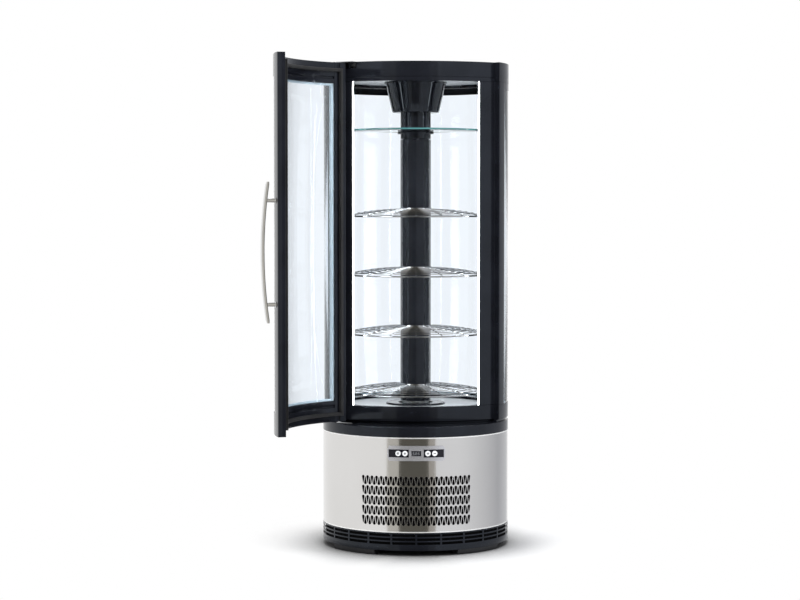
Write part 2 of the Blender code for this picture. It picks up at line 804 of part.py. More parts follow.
# Control panel
def make_control_panel():
    half = BEZEL_H / 2
    rows = [DISPLAY_H / 2, WINDOW_H / 2, half]
    levels = [PANEL_Z - z for z in reversed(rows)] + [PANEL_Z + z for z in rows]
    window = facets(WINDOW_FROM_DEG, WINDOW_TO_DEG)
    side = [DISPLAY_DEG] + window + [BEZEL_DEG]
    degs = [-deg for deg in reversed(side)] + [0.0] + side
    last = len(degs) - 1

    def is_open(column, row):
        from_middle = abs(column + 0.5 - last / 2)
        if from_middle < 1:
            return row == 2
        return 2 < from_middle < 1 + len(window) and 1 <= row <= 3

    def height_at(deg, z):
        rounding = BEZEL_END_ROUND if abs(deg) == BEZEL_DEG else 1.0
        return PANEL_Z + (z - PANEL_Z) * rounding

    node("control_bezel", sheet("control_bezel", BEZEL_OUT_R, BEZEL_T, degs, levels, is_open, height_at),
         "silver_plastic")

    end_deg = BEZEL_DEG - FASCIA_INSET_DEG
    fascia_half = half * BEZEL_END_ROUND - FASCIA_INSET
    fascia = arc_block("control_fascia", FASCIA_IN_R, FASCIA_OUT_R, -end_deg, end_deg,
                       PANEL_Z - fascia_half, PANEL_Z + fascia_half)
    up = Vector((0, 0, PANEL_Z))
    for deg in BUTTON_DEGS:
        out = direction(deg)
        cutter = rod("button_hole", out * (FASCIA_IN_R - FASCIA_T) + up, out * (FASCIA_OUT_R + FASCIA_T) + up,
                     BUTTON_R + GAP, 16)
        combined(fascia, cutter, "DIFFERENCE")
    node("control_fascia", fascia, "black_gloss")

    for number, deg in enumerate(BUTTON_DEGS, 1):
        front = flat_radius(BEZEL_OUT_R, deg) + BUTTON_PROUD
        flange_front = flat_radius(FASCIA_IN_R, deg) - BUTTON_FLANGE_CLEAR
        flange_back = flange_front - BUTTON_FLANGE_T
        slant = BUTTON_STEM_R * math.tan(math.radians(abs(deg)))
        stem_end = BOARD_Y / math.cos(math.radians(deg)) + slant + BUTTON_TRAVEL + GAP
        flange_r = BUTTON_R + BUTTON_FLANGE
        profile = [(0, front), (BUTTON_R, front), (BUTTON_R, flange_front), (flange_r, flange_front),
                   (flange_r, flange_back), (BUTTON_STEM_R, flange_back), (BUTTON_STEM_R, stem_end),
                   (0, stem_end)]
        shape = turned("button", profile, 12)
        shape.rotation_euler = direction(deg).to_track_quat("Z", "Y").to_euler()
        shape.location.z = PANEL_Z
        carrier = pivot("button_%d_slide" % number, direction(deg) * front + up)
        node("button_%d" % number, shape, "button_white", carrier)

    low, high = PANEL_Z - SERVICE_H / 2, PANEL_Z + SERVICE_H / 2
    board = [box("board", (-BOARD_W / 2, -BOARD_Y, low), (BOARD_W / 2, -BOARD_Y + BOARD_T, high))]
    post_deg = math.degrees(math.asin(BOARD_POST_X / SKIRT_R))
    skirt_y = flat_radius(SKIRT_R - SKIRT_T, post_deg) * math.cos(math.radians(post_deg))
    post_end = skirt_y - SLIP - BOARD_POST_R * math.tan(math.radians(post_deg))
    for x in (-BOARD_POST_X, BOARD_POST_X):
        board.append(rod("post", (x, -BOARD_Y + BOARD_T / 2, PANEL_Z), (x, -post_end, PANEL_Z), BOARD_POST_R, 8))
    node("control_board", joined(board), "circuit_green")


# Fixed frame and glazing
def jamb_x():
    """How far from the middle the front corner of a post stands; its jamb runs straight back from there."""
    return on_bow(FRONT_R, bow_deg(FRONT_R, POST_IN_DEG)).x


def front_post_outline(sign, bow_side):
    """From the jamb round the inside to the glass, back along the outside, and in along the front."""
    jamb_in = math.degrees(math.asin(jamb_x() / INNER_R))
    inner = [on_ring(INNER_R, deg) for deg in facets(jamb_in, POST_OUT_DEG)]
    outer = [on_ring(BODY_R, deg) for deg in reversed(facets(side_deg(bow_side), POST_OUT_DEG))]
    jamb = bow_deg(FRONT_R, POST_IN_DEG)
    front = [on_bow(FRONT_R, deg) for deg in reversed(facets(jamb, bow_side))]
    return [(sign * place.x, place.y) for place in inner + outer + front]


def make_frame():
    neck = prism("neck", [frame_outline(NECK_INSET), room_outline(-WELD)], NECK_Z + GAP, SILL_Z + WELD)
    frame = prism("bottom_frame", [frame_outline(), room_outline()], SILL_Z, OPENING_Z)
    node("bottom_frame", joined([frame, neck]), "black_gloss")
    node("top_frame", prism("top_frame", [frame_outline(), room_outline()], HEADER_Z, TOP_Z), "black_gloss")
    low, high = OPENING_Z + GAP, HEADER_Z - GAP
    for side, sign, bow_side in (("left", -1, HINGE_SIDE_DEG), ("right", 1, FREE_SIDE_DEG)):
        post = prism("post", [front_post_outline(sign, bow_side)], low, high)
        node("front_post_" + side, post, "black_gloss")
        start, end = sorted((sign * REAR_POST_DEG, sign * REAR_POST_TO_DEG))
        rear = arc_block("post", REAR_POST_IN_R, BODY_R, start, end, low, high)
        node("rear_post_" + side, rear, "black_gloss")
        near, far = sorted((sign * (jamb_x() - SLIP), sign * (jamb_x() - SLIP - LIGHT_T)))
        light = box("light", (near, -LIGHT_FRONT, low), (far, LIGHT_W - LIGHT_FRONT, high))
        node("light_strip_" + side, light, "light_strip")


def make_fixed_glazing():
    edge = degrees_across(SLIP, OUTER_PANE_R)
    low, high = OPENING_Z + GAP, HEADER_Z - GAP
    bays = {"side_glass_right": (POST_OUT_DEG, REAR_POST_DEG),
            "rear_glass": (REAR_POST_TO_DEG, 360 - REAR_POST_TO_DEG),
            "side_glass_left": (360 - REAR_POST_DEG, 360 - POST_OUT_DEG)}
    for name, (start, end) in bays.items():
        unit = glass_unit(name, OUTER_PANE_R, INNER_PANE_R, GLASS_BAR, start + edge, end - edge, low, high)
        node(name, unit, "clear_glass")


# Ceiling housing, cooling and the fixed shelf
def fan(hub_r, hub_l, blade_r, blade_w):
    """A hub along Z with pitched blades, one solid centred on the origin."""
    pieces = [disc("hub", hub_r, -hub_l / 2, hub_l / 2, SHAFT_STEPS)]
    for number in range(FAN_BLADES):
        blade = box("blade", (hub_r / 2, -blade_w / 2, -BLADE_T / 2), (blade_r, blade_w / 2, BLADE_T / 2))
        blade.rotation_euler = (math.radians(BLADE_PITCH_DEG), 0, 2 * math.pi * number / FAN_BLADES)
        pieces.append(as_mesh(blade))
    return as_mesh(joined(pieces))


def make_ceiling_housing():
    top, low = HOUSING_TOP_Z, HOUSING_Z
    lip_z = top - HOUSING_LIP_H
    wall = HOUSING_WALL
    profile = [(HOUSING_LIP_R, top), (HOUSING_LIP_R, lip_z), (HOUSING_TOP_R, lip_z), (HOUSING_BOTTOM_R, low),
               (HOUSING_HOLE_R, low), (HOUSING_HOLE_R, low + wall), (HOUSING_BOTTOM_R - wall, low + wall),
               (HOUSING_TOP_R - wall, top)]
    node("ceiling_housing", turned("ceiling_housing", profile), "black_gloss")

    tube_in = COLUMN_R - SLEEVE_WALL
    web_in = (SHAFT_R + GAP) / math.cos(math.pi / SHAFT_STEPS) + BEARING_WALL
    flange_z = SLEEVE_TOP_Z - SLEEVE_FLANGE_T
    collar_top = GLASS_SHELF_Z - GAP
    collar_low = collar_top - COLLAR_H
    sleeve = [(SLEEVE_FLANGE_R, SLEEVE_TOP_Z), (SLEEVE_FLANGE_R, flange_z), (COLUMN_R, flange_z),
              (COLUMN_R, collar_top), (COLLAR_R, collar_top), (COLLAR_R, collar_low), (COLUMN_R, collar_low),
              (COLUMN_R, SLEEVE_Z), (tube_in, SLEEVE_Z), (tube_in, WEB_Z), (web_in, WEB_Z),
              (web_in, WEB_Z + SLEEVE_WALL), (tube_in, WEB_Z + SLEEVE_WALL), (tube_in, SLEEVE_TOP_Z)]
    node("fixed_sleeve", turned("fixed_sleeve", sleeve), "black_gloss")
    node("glass_shelf", ring("glass_shelf", COLUMN_R + GAP, GLASS_SHELF_R, GLASS_SHELF_Z,
                             GLASS_SHELF_Z + GLASS_SHELF_T, RING_STEPS), "clear_glass")
    coil_z = SLEEVE_TOP_Z + GAP
    node("evaporator_coil", ring("evaporator_coil", EVAPORATOR_IN_R, EVAPORATOR_OUT_R,
                                 coil_z, coil_z + EVAPORATOR_H), "aluminium")


def make_fans():
    stud_top = CEILING_Z - GAP
    hanger_top = stud_top - STUD_L
    hanger_low = hanger_top - HANGER_T
    motor_low = hanger_low - EVAPORATOR_MOTOR_L
    motor = [turned("motor", [(0, hanger_top), (HANGER_R, hanger_top), (HANGER_R, hanger_low),
                              (EVAPORATOR_MOTOR_R, hanger_low), (EVAPORATOR_MOTOR_R, motor_low), (0, motor_low)])]
    for number in range(HANGER_STUDS):
        place = direction(360 * number / HANGER_STUDS) * (HANGER_R - 2 * STUD_R)
        motor.append(rod("stud", place + Vector((0, 0, hanger_top - WELD)), place + Vector((0, 0, stud_top)),
                         STUD_R, 8))
    node("evaporator_motor", joined(motor), "steel")
    fan_z = motor_low - SLIP - EVAPORATOR_HUB_L / 2
    carrier = pivot("evaporator_fan_axis", (0, 0, fan_z))
    blades = fan(EVAPORATOR_HUB_R, EVAPORATOR_HUB_L, EVAPORATOR_FAN_R, EVAPORATOR_BLADE_W)
    blades.location.z = fan_z
    node("evaporator_fan", blades, "black_matte", carrier)

    axis_z = FLOOR_Z + SHROUD_H / 2
    shroud_back = -SHROUD_Y + SHROUD_T
    hub_back = shroud_back + CONDENSER_HUB_L
    carrier = pivot("condenser_fan_axis", (0, (shroud_back + hub_back) / 2, axis_z))
    blades = fan(CONDENSER_HUB_R, CONDENSER_HUB_L, CONDENSER_FAN_R, CONDENSER_BLADE_W)
    blades.rotation_euler.x = math.radians(90)
    blades.location = carrier.location
    node("condenser_fan", blades, "black_matte", carrier)

    motor_back = hub_back + SLIP + CONDENSER_MOTOR_L
    half = MOTOR_BRACKET_W / 2
    wall = MOTOR_BRACKET_T
    front = shroud_back + GAP
    back = motor_back - WELD
    outline = [(-half, front), (-half, back + wall), (half, back + wall), (half, front),
               (half - wall, front), (half - wall, back), (-half + wall, back), (-half + wall, front)]
    bracket = prism("bracket", [outline], axis_z - MOTOR_BRACKET_H / 2, axis_z + MOTOR_BRACKET_H / 2)
    motor = rod("motor", (0, hub_back + SLIP, axis_z), (0, motor_back, axis_z), CONDENSER_MOTOR_R, 20)
    node("condenser_motor", joined([bracket, motor]), "steel")

    square = [(-SHROUD_W / 2, -SHROUD_H / 2), (SHROUD_W / 2, -SHROUD_H / 2),
              (SHROUD_W / 2, SHROUD_H / 2), (-SHROUD_W / 2, SHROUD_H / 2)]
    shroud = prism("fan_shroud", [square, circle(SHROUD_HOLE_R, SMALL_STEPS)], 0, SHROUD_T)
    shroud.rotation_euler.x = math.radians(90)
    shroud.location = (0, shroud_back, axis_z)
    node("fan_shroud", as_mesh(shroud), "black_matte")


# Machine compartment
def make_machinery():
    low = FLOOR_Z
    front = -COIL_Y - COIL_D / 2
    back = -COIL_Y + COIL_D / 2
    half = COIL_W / 2
    proud = COIL_PLATE_PROUD
    coil = [box("fins", (-half, front, low + proud), (half, back, low + COIL_H - proud))]
    for x in (-half, half):
        coil.append(box("end_plate", (x - COIL_PLATE_T / 2, front - proud, low),
                        (x + COIL_PLATE_T / 2, back + proud, low + COIL_H)))
    node("condenser_coil", joined(coil), "aluminium")

    centre = (COMPRESSOR_X, COMPRESSOR_Y)
    plate_z = low + COMPRESSOR_FOOT_H
    shell_z = plate_z + COMPRESSOR_PLATE_T
    top = shell_z + COMPRESSOR_H
    radius = COMPRESSOR_R
    dome = COMPRESSOR_DOME
    shell = [(0, top)] + [(radius * across, top - dome * down) for across, down in COMPRESSOR_CROWN]
    shell += [(radius, top - dome), (radius, shell_z + dome / 2), (radius * COMPRESSOR_FOOTPRINT, shell_z),
              (COMPRESSOR_PLATE_R, shell_z), (COMPRESSOR_PLATE_R, plate_z), (0, plate_z)]
    compressor = [turned("shell", shell, SMALL_STEPS, centre)]
    for number in range(COMPRESSOR_FEET):
        place = direction(360 * number / COMPRESSOR_FEET) * COMPRESSOR_FOOT_REACH
        compressor.append(disc("foot", COMPRESSOR_FOOT_R, low, plate_z + WELD, 12,
                               (centre[0] + place.x, centre[1] + place.y)))
    node("compressor", joined(compressor), "black_matte")

    tray = box("drip_tray", (TRAY_X - TRAY_W / 2, TRAY_Y - TRAY_D / 2, low),
               (TRAY_X + TRAY_W / 2, TRAY_Y + TRAY_D / 2, low + TRAY_H))
    bm = bmesh.new()
    bm.from_mesh(tray.data)
    lid = [face for face in bm.faces if face.normal.z > 0.5]
    bmesh.ops.delete(bm, geom=lid, context="FACES_ONLY")
    bm.to_mesh(tray.data)
    bm.free()
    node("drip_tray", thickened(tray, TRAY_WALL), "black_matte")

    box_low = GEARBOX_TOP_Z - GEARBOX_H
    half = GEARBOX_W / 2
    drive = [box("gearbox", (-half, -half, box_low), (half, half, GEARBOX_TOP_Z)),
             disc("motor", GEARMOTOR_R, box_low - GEARMOTOR_L, box_low + WELD)]
    for x in (-GEARBOX_POST_REACH, GEARBOX_POST_REACH):
        for y in (-GEARBOX_POST_REACH, GEARBOX_POST_REACH):
            drive.append(rod("post", (x, y, GEARBOX_TOP_Z - WELD), (x, y, CAP_WEB_Z - GAP), GEARBOX_POST_R, 8))
    node("drive_gearmotor", joined(drive), "steel")

    plate_r = SKIRT_R + GAP
    gland_at = flat_radius(plate_r + INLET_T / 2, INLET_DEG)
    out = direction(INLET_DEG)
    up = Vector((0, 0, INLET_Z + INLET_H / 2))
    plate = arc_block("plate", plate_r, plate_r + INLET_T, INLET_DEG - INLET_HALF_DEG,
                      INLET_DEG + INLET_HALF_DEG, INLET_Z, INLET_Z + INLET_H)
    gland = rod("gland", out * gland_at + up, out * (gland_at + GLAND_L) + up, GLAND_R)
    node("power_inlet", joined([plate, gland]), "black_matte")

    side = COMPRESSOR_X + COMPRESSOR_R + GAP
    start_z = shell_z + COMPRESSOR_H / 2
    pipe_z = low + COIL_H - PIPE_UNDER_TOP
    coil_side = COIL_W / 2 + COIL_PLATE_T / 2 + GAP
    discharge = [(side, COMPRESSOR_Y, start_z), (side + PIPE_LEAD, COMPRESSOR_Y, start_z),
                 (side + PIPE_TURN, PIPE_TURN_Y, pipe_z), (*PIPE_MIDDLE, pipe_z + PIPE_HUMP),
                 (*PIPE_SIDE, pipe_z + PIPE_FALL), (PIPE_SIDE[0], -COIL_Y + PIPE_COIL_STEP, pipe_z),
                 (coil_side + PIPE_COIL_LEAD, -COIL_Y, pipe_z), (coil_side, -COIL_Y, pipe_z)]
    node("refrigerant_pipe", pipe("refrigerant_pipe", discharge, PIPE_R), "copper")


# Column, shaft and wire shelves
def make_wire_shelf(number, z, carrier):
    """Rim, rings, hub and spokes as one lattice sheet that rises gently from the rim to the hub."""
    hub_in = (COLUMN_R + GAP) / math.cos(math.radians(90 / SPOKES))
    bands = [(hub_in, hub_in + HUB_W)] + [(radius - RING_W / 2, radius + RING_W / 2) for radius in RING_RADII]
    levels = [(radius, SHELF_DROP + SHELF_SLOPE * (RING_RADII[-1] - radius)) for band in bands for radius in band]
    levels += [(SHELF_R - RIM_W, 0), (SHELF_R, 0)]
    bm = bmesh.new()
    grid = []
    for spoke in range(SPOKES):
        middle = 360 * spoke / SPOKES
        for deg, aside in ((middle, -SPOKE_W / 2), (middle, SPOKE_W / 2), (middle + 180 / SPOKES, 0)):
            out = direction(deg)
            across = Vector((-out.y, out.x, 0))
            column = []
            for radius, height in levels:
                place = out * math.sqrt(radius ** 2 - aside ** 2) + across * aside
                place.z = z + height + WIRE_T / 2
                column.append(bm.verts.new(place))
            grid.append(column)
    for number_of_column, left in enumerate(grid):
        right = grid[(number_of_column + 1) % len(grid)]
        for row in range(len(levels) - 1):
            if row % 2 == 0 or number_of_column % 3 == 0:
                bm.faces.new((left[row], left[row + 1], right[row + 1], right[row]))
    shelf = thickened(mesh_object("shelf", bm, is_closed=False), WIRE_T)
    node("wire_shelf_%d" % number, shelf, "chrome", carrier)


def make_carousel():
    carrier = pivot("carousel_axis", (0, 0, COLUMN_Z))
    points = [direction(180 * k / FLUTES) * (COLUMN_R - (k % 2) * FLUTE_DEPTH) for k in range(2 * FLUTES)]
    bore = circle(COLUMN_BORE_R, 2 * FLUTES)
    node("column_tube", prism("column_tube", [points, bore], COLUMN_Z, COLUMN_TOP_Z), "black_gloss", carrier)

    shaft_top = WEB_Z + TOP_BEARING_H + SHAFT_TOP_OVER
    flange_top = SHAFT_FLANGE_Z + SHAFT_FLANGE_T
    shaft_low = GEARBOX_TOP_Z + GAP
    profile = [(0, shaft_top), (SHAFT_R, shaft_top), (SHAFT_R, flange_top), (SHAFT_FLANGE_R, flange_top),
               (SHAFT_FLANGE_R, SHAFT_FLANGE_Z), (SHAFT_R, SHAFT_FLANGE_Z), (SHAFT_R, shaft_low), (0, shaft_low)]
    node("carousel_shaft", turned("carousel_shaft", profile, SHAFT_STEPS), "steel", carrier)

    bore_r = (SHAFT_R + GAP) / math.cos(math.pi / SHAFT_STEPS)
    low = CAP_WEB_Z - GAP - BEARING_H
    sleeve_seat = (bore_r + BEARING_WALL) * math.cos(math.pi / SMALL_STEPS) - GAP
    node("lower_bearing", ring("lower_bearing", bore_r, BEARING_R, low, low + BEARING_H, SHAFT_STEPS), "steel")
    node("upper_bearing", ring("upper_bearing", bore_r, sleeve_seat, WEB_Z, WEB_Z + TOP_BEARING_H, SHAFT_STEPS),
         "steel")
    for number in range(SHELVES):
        make_wire_shelf(number + 1, SHELF_Z + number * SHELF_STEP, carrier)


# Door, modelled shut and then turned open about its pin
def hinge_stile_outline():
    """From the glass along the outside, round the end about the pin, and back along the inside."""
    pin = on_bow(PIN_BOW_R, PIN_BOW_DEG)
    out = direction(PIN_BOW_DEG)
    away = Vector((out.y, -out.x, 0))
    first = math.acos((DOOR_R - PIN_BOW_R) / DOOR_ROUND)
    last = math.acos((DOOR_IN_R - PIN_BOW_R) / DOOR_ROUND)
    steps = 7
    turn = [first + (last - first) * step / (steps - 1) for step in range(steps)]
    end = [pin + (out * math.cos(angle) + away * math.sin(angle)) * DOOR_ROUND for angle in turn]
    bead = -STILE_DEG - degrees_across(BEAD_W, DOOR_IN_R)
    groove = bead - degrees_across(GROOVE_W, DOOR_IN_R)
    floor_r = DOOR_IN_R + GROOVE_DEPTH
    inner = [on_bow(DOOR_IN_R, groove), on_bow(floor_r, groove), on_bow(floor_r, bead),
             on_bow(DOOR_IN_R, bead), on_bow(DOOR_IN_R, -STILE_DEG)]
    return [on_bow(DOOR_R, -STILE_DEG)] + end + inner


def handle_stile_outline():
    outer = [on_bow(DOOR_R, deg) for deg in facets(STILE_DEG, DOOR_FREE_DEG)]
    bead = STILE_DEG + degrees_across(BEAD_W, DOOR_IN_R)
    groove = bead + degrees_across(GROOVE_W, DOOR_IN_R)
    floor_r = DOOR_IN_R + GROOVE_DEPTH
    inner = [on_bow(DOOR_IN_R, DOOR_FREE_DEG), on_bow(DOOR_IN_R, groove), on_bow(floor_r, groove),
             on_bow(floor_r, bead), on_bow(DOOR_IN_R, bead), on_bow(DOOR_IN_R, STILE_DEG)]
    return outer + inner


def rail_profile(outer_z, inner_z):
    """The rail's section between its outer edge and the edge at the glass, with the groove at the bead."""
    way = 1 if outer_z > inner_z else -1
    bead = inner_z + way * BEAD_W
    groove = bead + way * GROOVE_W
    floor_r = DOOR_IN_R + GROOVE_DEPTH
    return [(DOOR_R, outer_z), (DOOR_R, inner_z), (DOOR_IN_R, inner_z), (DOOR_IN_R, bead), (floor_r, bead),
            (floor_r, groove), (DOOR_IN_R, groove), (DOOR_IN_R, outer_z)]


def make_door():
    pin = on_bow(PIN_BOW_R, PIN_BOW_DEG)
    carrier = pivot("door_hinge", pin)
    low, high = DOOR_Z, DOOR_TOP_Z
    edge = STILE_DEG - degrees_across(SLIP, DOOR_R)

    stile = prism("door_hinge_stile", [hinge_stile_outline()], low, high)
    for bottom, top in ((low - GAP, low + PIN_HOLE_L), (high - PIN_HOLE_L, high + GAP)):
        cutter = rod("pin_hole", pin + Vector((0, 0, bottom)), pin + Vector((0, 0, top)), PIN_HOLE_R)
        combined(stile, cutter, "DIFFERENCE")
    node("door_hinge_stile", stile, "black_gloss", carrier)
    node("door_handle_stile", prism("door_handle_stile", [handle_stile_outline()], low, high), "black_gloss",
         carrier)
    for name, outer_z, inner_z in (("door_bottom_rail", low, low + RAIL_H), ("door_top_rail", high, high - RAIL_H)):
        node(name, swept(name, rail_profile(outer_z, inner_z), -edge, edge, BOW_Y), "black_gloss", carrier)
    unit = glass_unit("door_glass", DOOR_R - DOOR_PANE_INSET, DOOR_INNER_PANE_R, DOOR_BAR, -edge, edge,
                      low + RAIL_H + GAP, high - RAIL_H - GAP, BOW_Y)
    node("door_glass", unit, "clear_glass", carrier)

    first, last = low + GASKET_EDGE, high - GASKET_EDGE
    strip_deg = degrees_across(GASKET_W, DOOR_IN_R)
    middle = facets(GASKET_HINGE_DEG + strip_deg, GASKET_FREE_DEG - strip_deg)
    degs = [GASKET_HINGE_DEG] + middle + [GASKET_FREE_DEG]
    gasket = sheet("door_gasket", DOOR_IN_R - GAP, GASKET_T - GAP, degs,
                   [first, first + GASKET_W, last - GASKET_W, last],
                   lambda column, row: row == 1 and 0 < column < len(degs) - 2, centre_y=BOW_Y)
    node("door_gasket", gasket, "rubber", carrier)
    make_handle(carrier)
    carrier.rotation_euler.z = math.radians(DOOR_REST_DEG)


def handle_stand(height):
    """How far the handle's inner face stands off the door at this height from its middle."""
    return HANDLE_STAND + HANDLE_BOW * (1 - (2 * height / HANDLE_L) ** 2)


def make_handle(carrier):
    door_face = flat_radius(DOOR_R, HANDLE_DEG)
    heights = [HANDLE_L * (k / HANDLE_STEPS - 0.5) for k in range(HANDLE_STEPS + 1)]
    outline = [(door_face + handle_stand(height), height) for height in heights]
    outline += [(door_face + handle_stand(height) + HANDLE_T, height) for height in reversed(heights)]
    bar = prism("door_handle", [outline], -HANDLE_W / 2, HANDLE_W / 2)
    out = direction(HANDLE_DEG)
    up = Vector((0, 0, 1))
    turn = Matrix((out, up, out.cross(up))).transposed().to_4x4()
    centre = Vector((0, BOW_Y, HANDLE_Z))
    bar.matrix_world = Matrix.Translation(centre) @ turn
    pieces = [as_mesh(bar)]
    for height in (-STANDOFF_SPACING / 2, STANDOFF_SPACING / 2):
        at = centre + up * height
        end = door_face + handle_stand(height) + HANDLE_T / 2
        pieces.append(rod("standoff", at + out * (door_face + GAP), at + out * end, STANDOFF_R))
    node("door_handle", joined(pieces), "stainless", carrier)


def make_hinges():
    pin = on_bow(PIN_BOW_R, PIN_BOW_DEG)
    reach = PIN_BOW_R + TONGUE_OVER_PIN
    inner = FRONT_R + GAP
    tongue_z = DOOR_TOP_Z + GAP
    flange_out = inner + TONGUE_FLANGE_T
    tongue = swept("tongue", [(reach, tongue_z + TONGUE_T), (reach, tongue_z), (flange_out, tongue_z),
                              (flange_out, tongue_z - TONGUE_FLANGE_H), (inner, tongue_z - TONGUE_FLANGE_H),
                              (inner, tongue_z + TONGUE_T)], TONGUE_FROM_DEG, TONGUE_TO_DEG, BOW_Y)
    upper_pin = disc("upper_pin", PIN_R, DOOR_TOP_Z - PIN_L, tongue_z + TONGUE_T / 2, 12, pin)
    node("upper_hinge", joined([tongue, upper_pin]), "chrome")
    plate_z = NECK_Z + GAP
    plate_top = plate_z + HINGE_PLATE_T
    washer_top = DOOR_Z - GAP
    plate = arc_block("plate", inner, reach, TONGUE_FROM_DEG, TONGUE_TO_DEG, plate_z, plate_top, BOW_Y)
    lower = [(0, DOOR_Z + PIN_L), (PIN_R, DOOR_Z + PIN_L), (PIN_R, washer_top), (WASHER_R, washer_top),
             (WASHER_R, plate_top - WELD), (0, plate_top - WELD)]
    lower_pin = turned("lower_pin", lower, 12, pin)
    node("lower_hinge", joined([plate, lower_pin]), "chrome")


def centre_over_floor():
    """Moves the whole case so that the origin lies under the middle of its box."""
    bpy.context.view_layer.update()
    graph = bpy.context.evaluated_depsgraph_get()
    places = []
    for obj in parts.objects:
        if obj.type == "MESH":
            shape = obj.evaluated_get(graph)
            places += [shape.matrix_world @ vert.co for vert in shape.data.vertices]
    middle = [(min(place[axis] for place in places) + max(place[axis] for place in places)) / 2 for axis in (0, 1)]
    cabinet.location = (-middle[0], -middle[1], 0)
    bpy.context.view_layer.update()


for old in list(bpy.data.objects):
    bpy.data.objects.remove(old)
parts = bpy.data.collections.new("cake_display_case")
cutters = bpy.data.collections.new("cutters")
bpy.context.scene.collection.children.link(parts)
bpy.context.scene.collection.children.link(cutters)
cabinet = bpy.data.objects.new("cabinet_axis", None)
parts.objects.link(cabinet)

make_base()
make_plinth()
make_skirt()
make_cap_and_deck()
make_control_panel()
make_frame()
make_fixed_glazing()
make_ceiling_housing()
make_fans()
make_machinery()
make_carousel()
make_door()
make_hinges()
centre_over_floor()
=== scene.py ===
# %% [markdown]
# # A round cake display case
# A drum of black plastic, curved double glass and brushed steel, with wire shelves that turn round a
# fluted column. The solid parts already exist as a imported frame. This lesson dresses them: it remakes
# finely what is a coarse stand-in, and gives every surface a finish built from nodes.

# %% Load the frame
import json
from math import acos, asin, atan2, cos, degrees, pi, radians, sin, sqrt

import bmesh
import bpy
from mathutils import Matrix, Vector


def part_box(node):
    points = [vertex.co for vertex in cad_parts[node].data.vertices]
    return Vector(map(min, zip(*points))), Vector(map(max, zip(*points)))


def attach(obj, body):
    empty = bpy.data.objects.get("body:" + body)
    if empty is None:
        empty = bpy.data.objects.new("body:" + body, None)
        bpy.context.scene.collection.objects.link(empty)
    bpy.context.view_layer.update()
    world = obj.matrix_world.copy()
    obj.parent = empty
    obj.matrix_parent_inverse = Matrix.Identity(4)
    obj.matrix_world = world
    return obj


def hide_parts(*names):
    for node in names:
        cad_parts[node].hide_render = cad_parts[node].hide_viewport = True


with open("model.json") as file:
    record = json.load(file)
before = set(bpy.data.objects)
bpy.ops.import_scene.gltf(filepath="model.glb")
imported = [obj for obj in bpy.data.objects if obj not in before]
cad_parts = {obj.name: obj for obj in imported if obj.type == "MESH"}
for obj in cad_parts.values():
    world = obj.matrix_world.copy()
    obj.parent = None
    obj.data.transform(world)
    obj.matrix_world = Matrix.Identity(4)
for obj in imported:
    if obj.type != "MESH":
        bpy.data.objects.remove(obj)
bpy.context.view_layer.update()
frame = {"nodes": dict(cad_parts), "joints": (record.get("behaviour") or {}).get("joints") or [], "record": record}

scene = bpy.context.scene
scene.view_settings.view_transform = "Standard"
nodes = frame["nodes"]

# %% [markdown]
# The case's own axis is the middle of its base cap. The door turns about its pin, and its joint says
# where that is. Sizes that the frame holds are read from it, so a piece always fits what carries it.

# %% Places and sizes
def span(name):
    """The lowest and the highest corner of a solid."""
    low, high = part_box(name)
    return low, high


def heights(name):
    return [corner.z for corner in span(name)]


cap_low, cap_high = span("base_cap")
AXIS = Vector(((cap_low.x + cap_high.x) / 2, (cap_low.y + cap_high.y) / 2, 0))
BODY_R = (cap_high.x - cap_low.x) / 2
hinge = next(joint for joint in frame["joints"] if joint["name"] == "door_hinge")
PIN = Vector((hinge["pos_m"][0], hinge["pos_m"][1], 0))
OPEN_DEG = -hinge["range_deg"][1]
BOW_Y = 0.22
DOOR_R, DOOR_T = 0.5, 0.027
DOOR_IN_R = DOOR_R - DOOR_T
FRONT_R = 0.4603
SILL_W = 0.018
ROOM_R = 0.262
HINGE_SIDE_DEG, FREE_SIDE_DEG = 37.2, 38.0
GAP = 0.0003
print("axis", AXIS, "radius", round(BODY_R, 4), "pin", PIN)

# %% [markdown]
# The camera stands well back with a long lens, a little above the middle of the case and tilted down.
# It is set first, so that every later choice is judged in its picture.

# %% Camera
CAMERA_PLACE = Vector((-0.0573, -7.7368, 1.231))
CAMERA_DOWN_DEG = 2.517
CAMERA_LENS, SENSOR_W = 94.9, 36.0


def new_object(name, data):
    made = bpy.data.objects.new(name, data)
    scene.collection.objects.link(made)
    return made


camera = new_object("camera", bpy.data.cameras.new("camera"))
camera.location = AXIS + CAMERA_PLACE
camera.rotation_euler = (radians(90 - CAMERA_DOWN_DEG), 0, 0)
camera.data.sensor_width = SENSOR_W
camera.data.lens = CAMERA_LENS
scene.camera = camera
print("camera at", camera.location)

# %% [markdown]
# A white room lights the case softly, and four lamps shape it: one at each side, one above, and one in
# front that reaches into the open case. They don't show in reflections. One short function makes every
# node, and sets its inputs or feeds them from other nodes.

# %% World and lamps
WHITE_LIGHT = (1, 1, 1, 1)
ROOM_LIGHT = 0.55


def feed(tree, node, *inputs, **values):
    """Sets inputs, in order or by name, to a value, an output or a node's only output. Other names are the
    node's own settings."""
    for key, value in [*enumerate(inputs), *values.items()]:
        label = key.replace("_", " ") if isinstance(key, str) else key
        if isinstance(value, bpy.types.Node):
            value = next(output for output in value.outputs if output.enabled)
        if isinstance(label, str) and label not in node.inputs:
            setattr(node, key, value)
        elif isinstance(value, bpy.types.NodeSocket):
            tree.links.new(value, node.inputs[label])
        else:
            node.inputs[label].default_value = value
    return node


def add(tree, kind, *inputs, **values):
    return feed(tree, tree.nodes.new(kind if "Node" in kind else "ShaderNode" + kind), *inputs, **values)


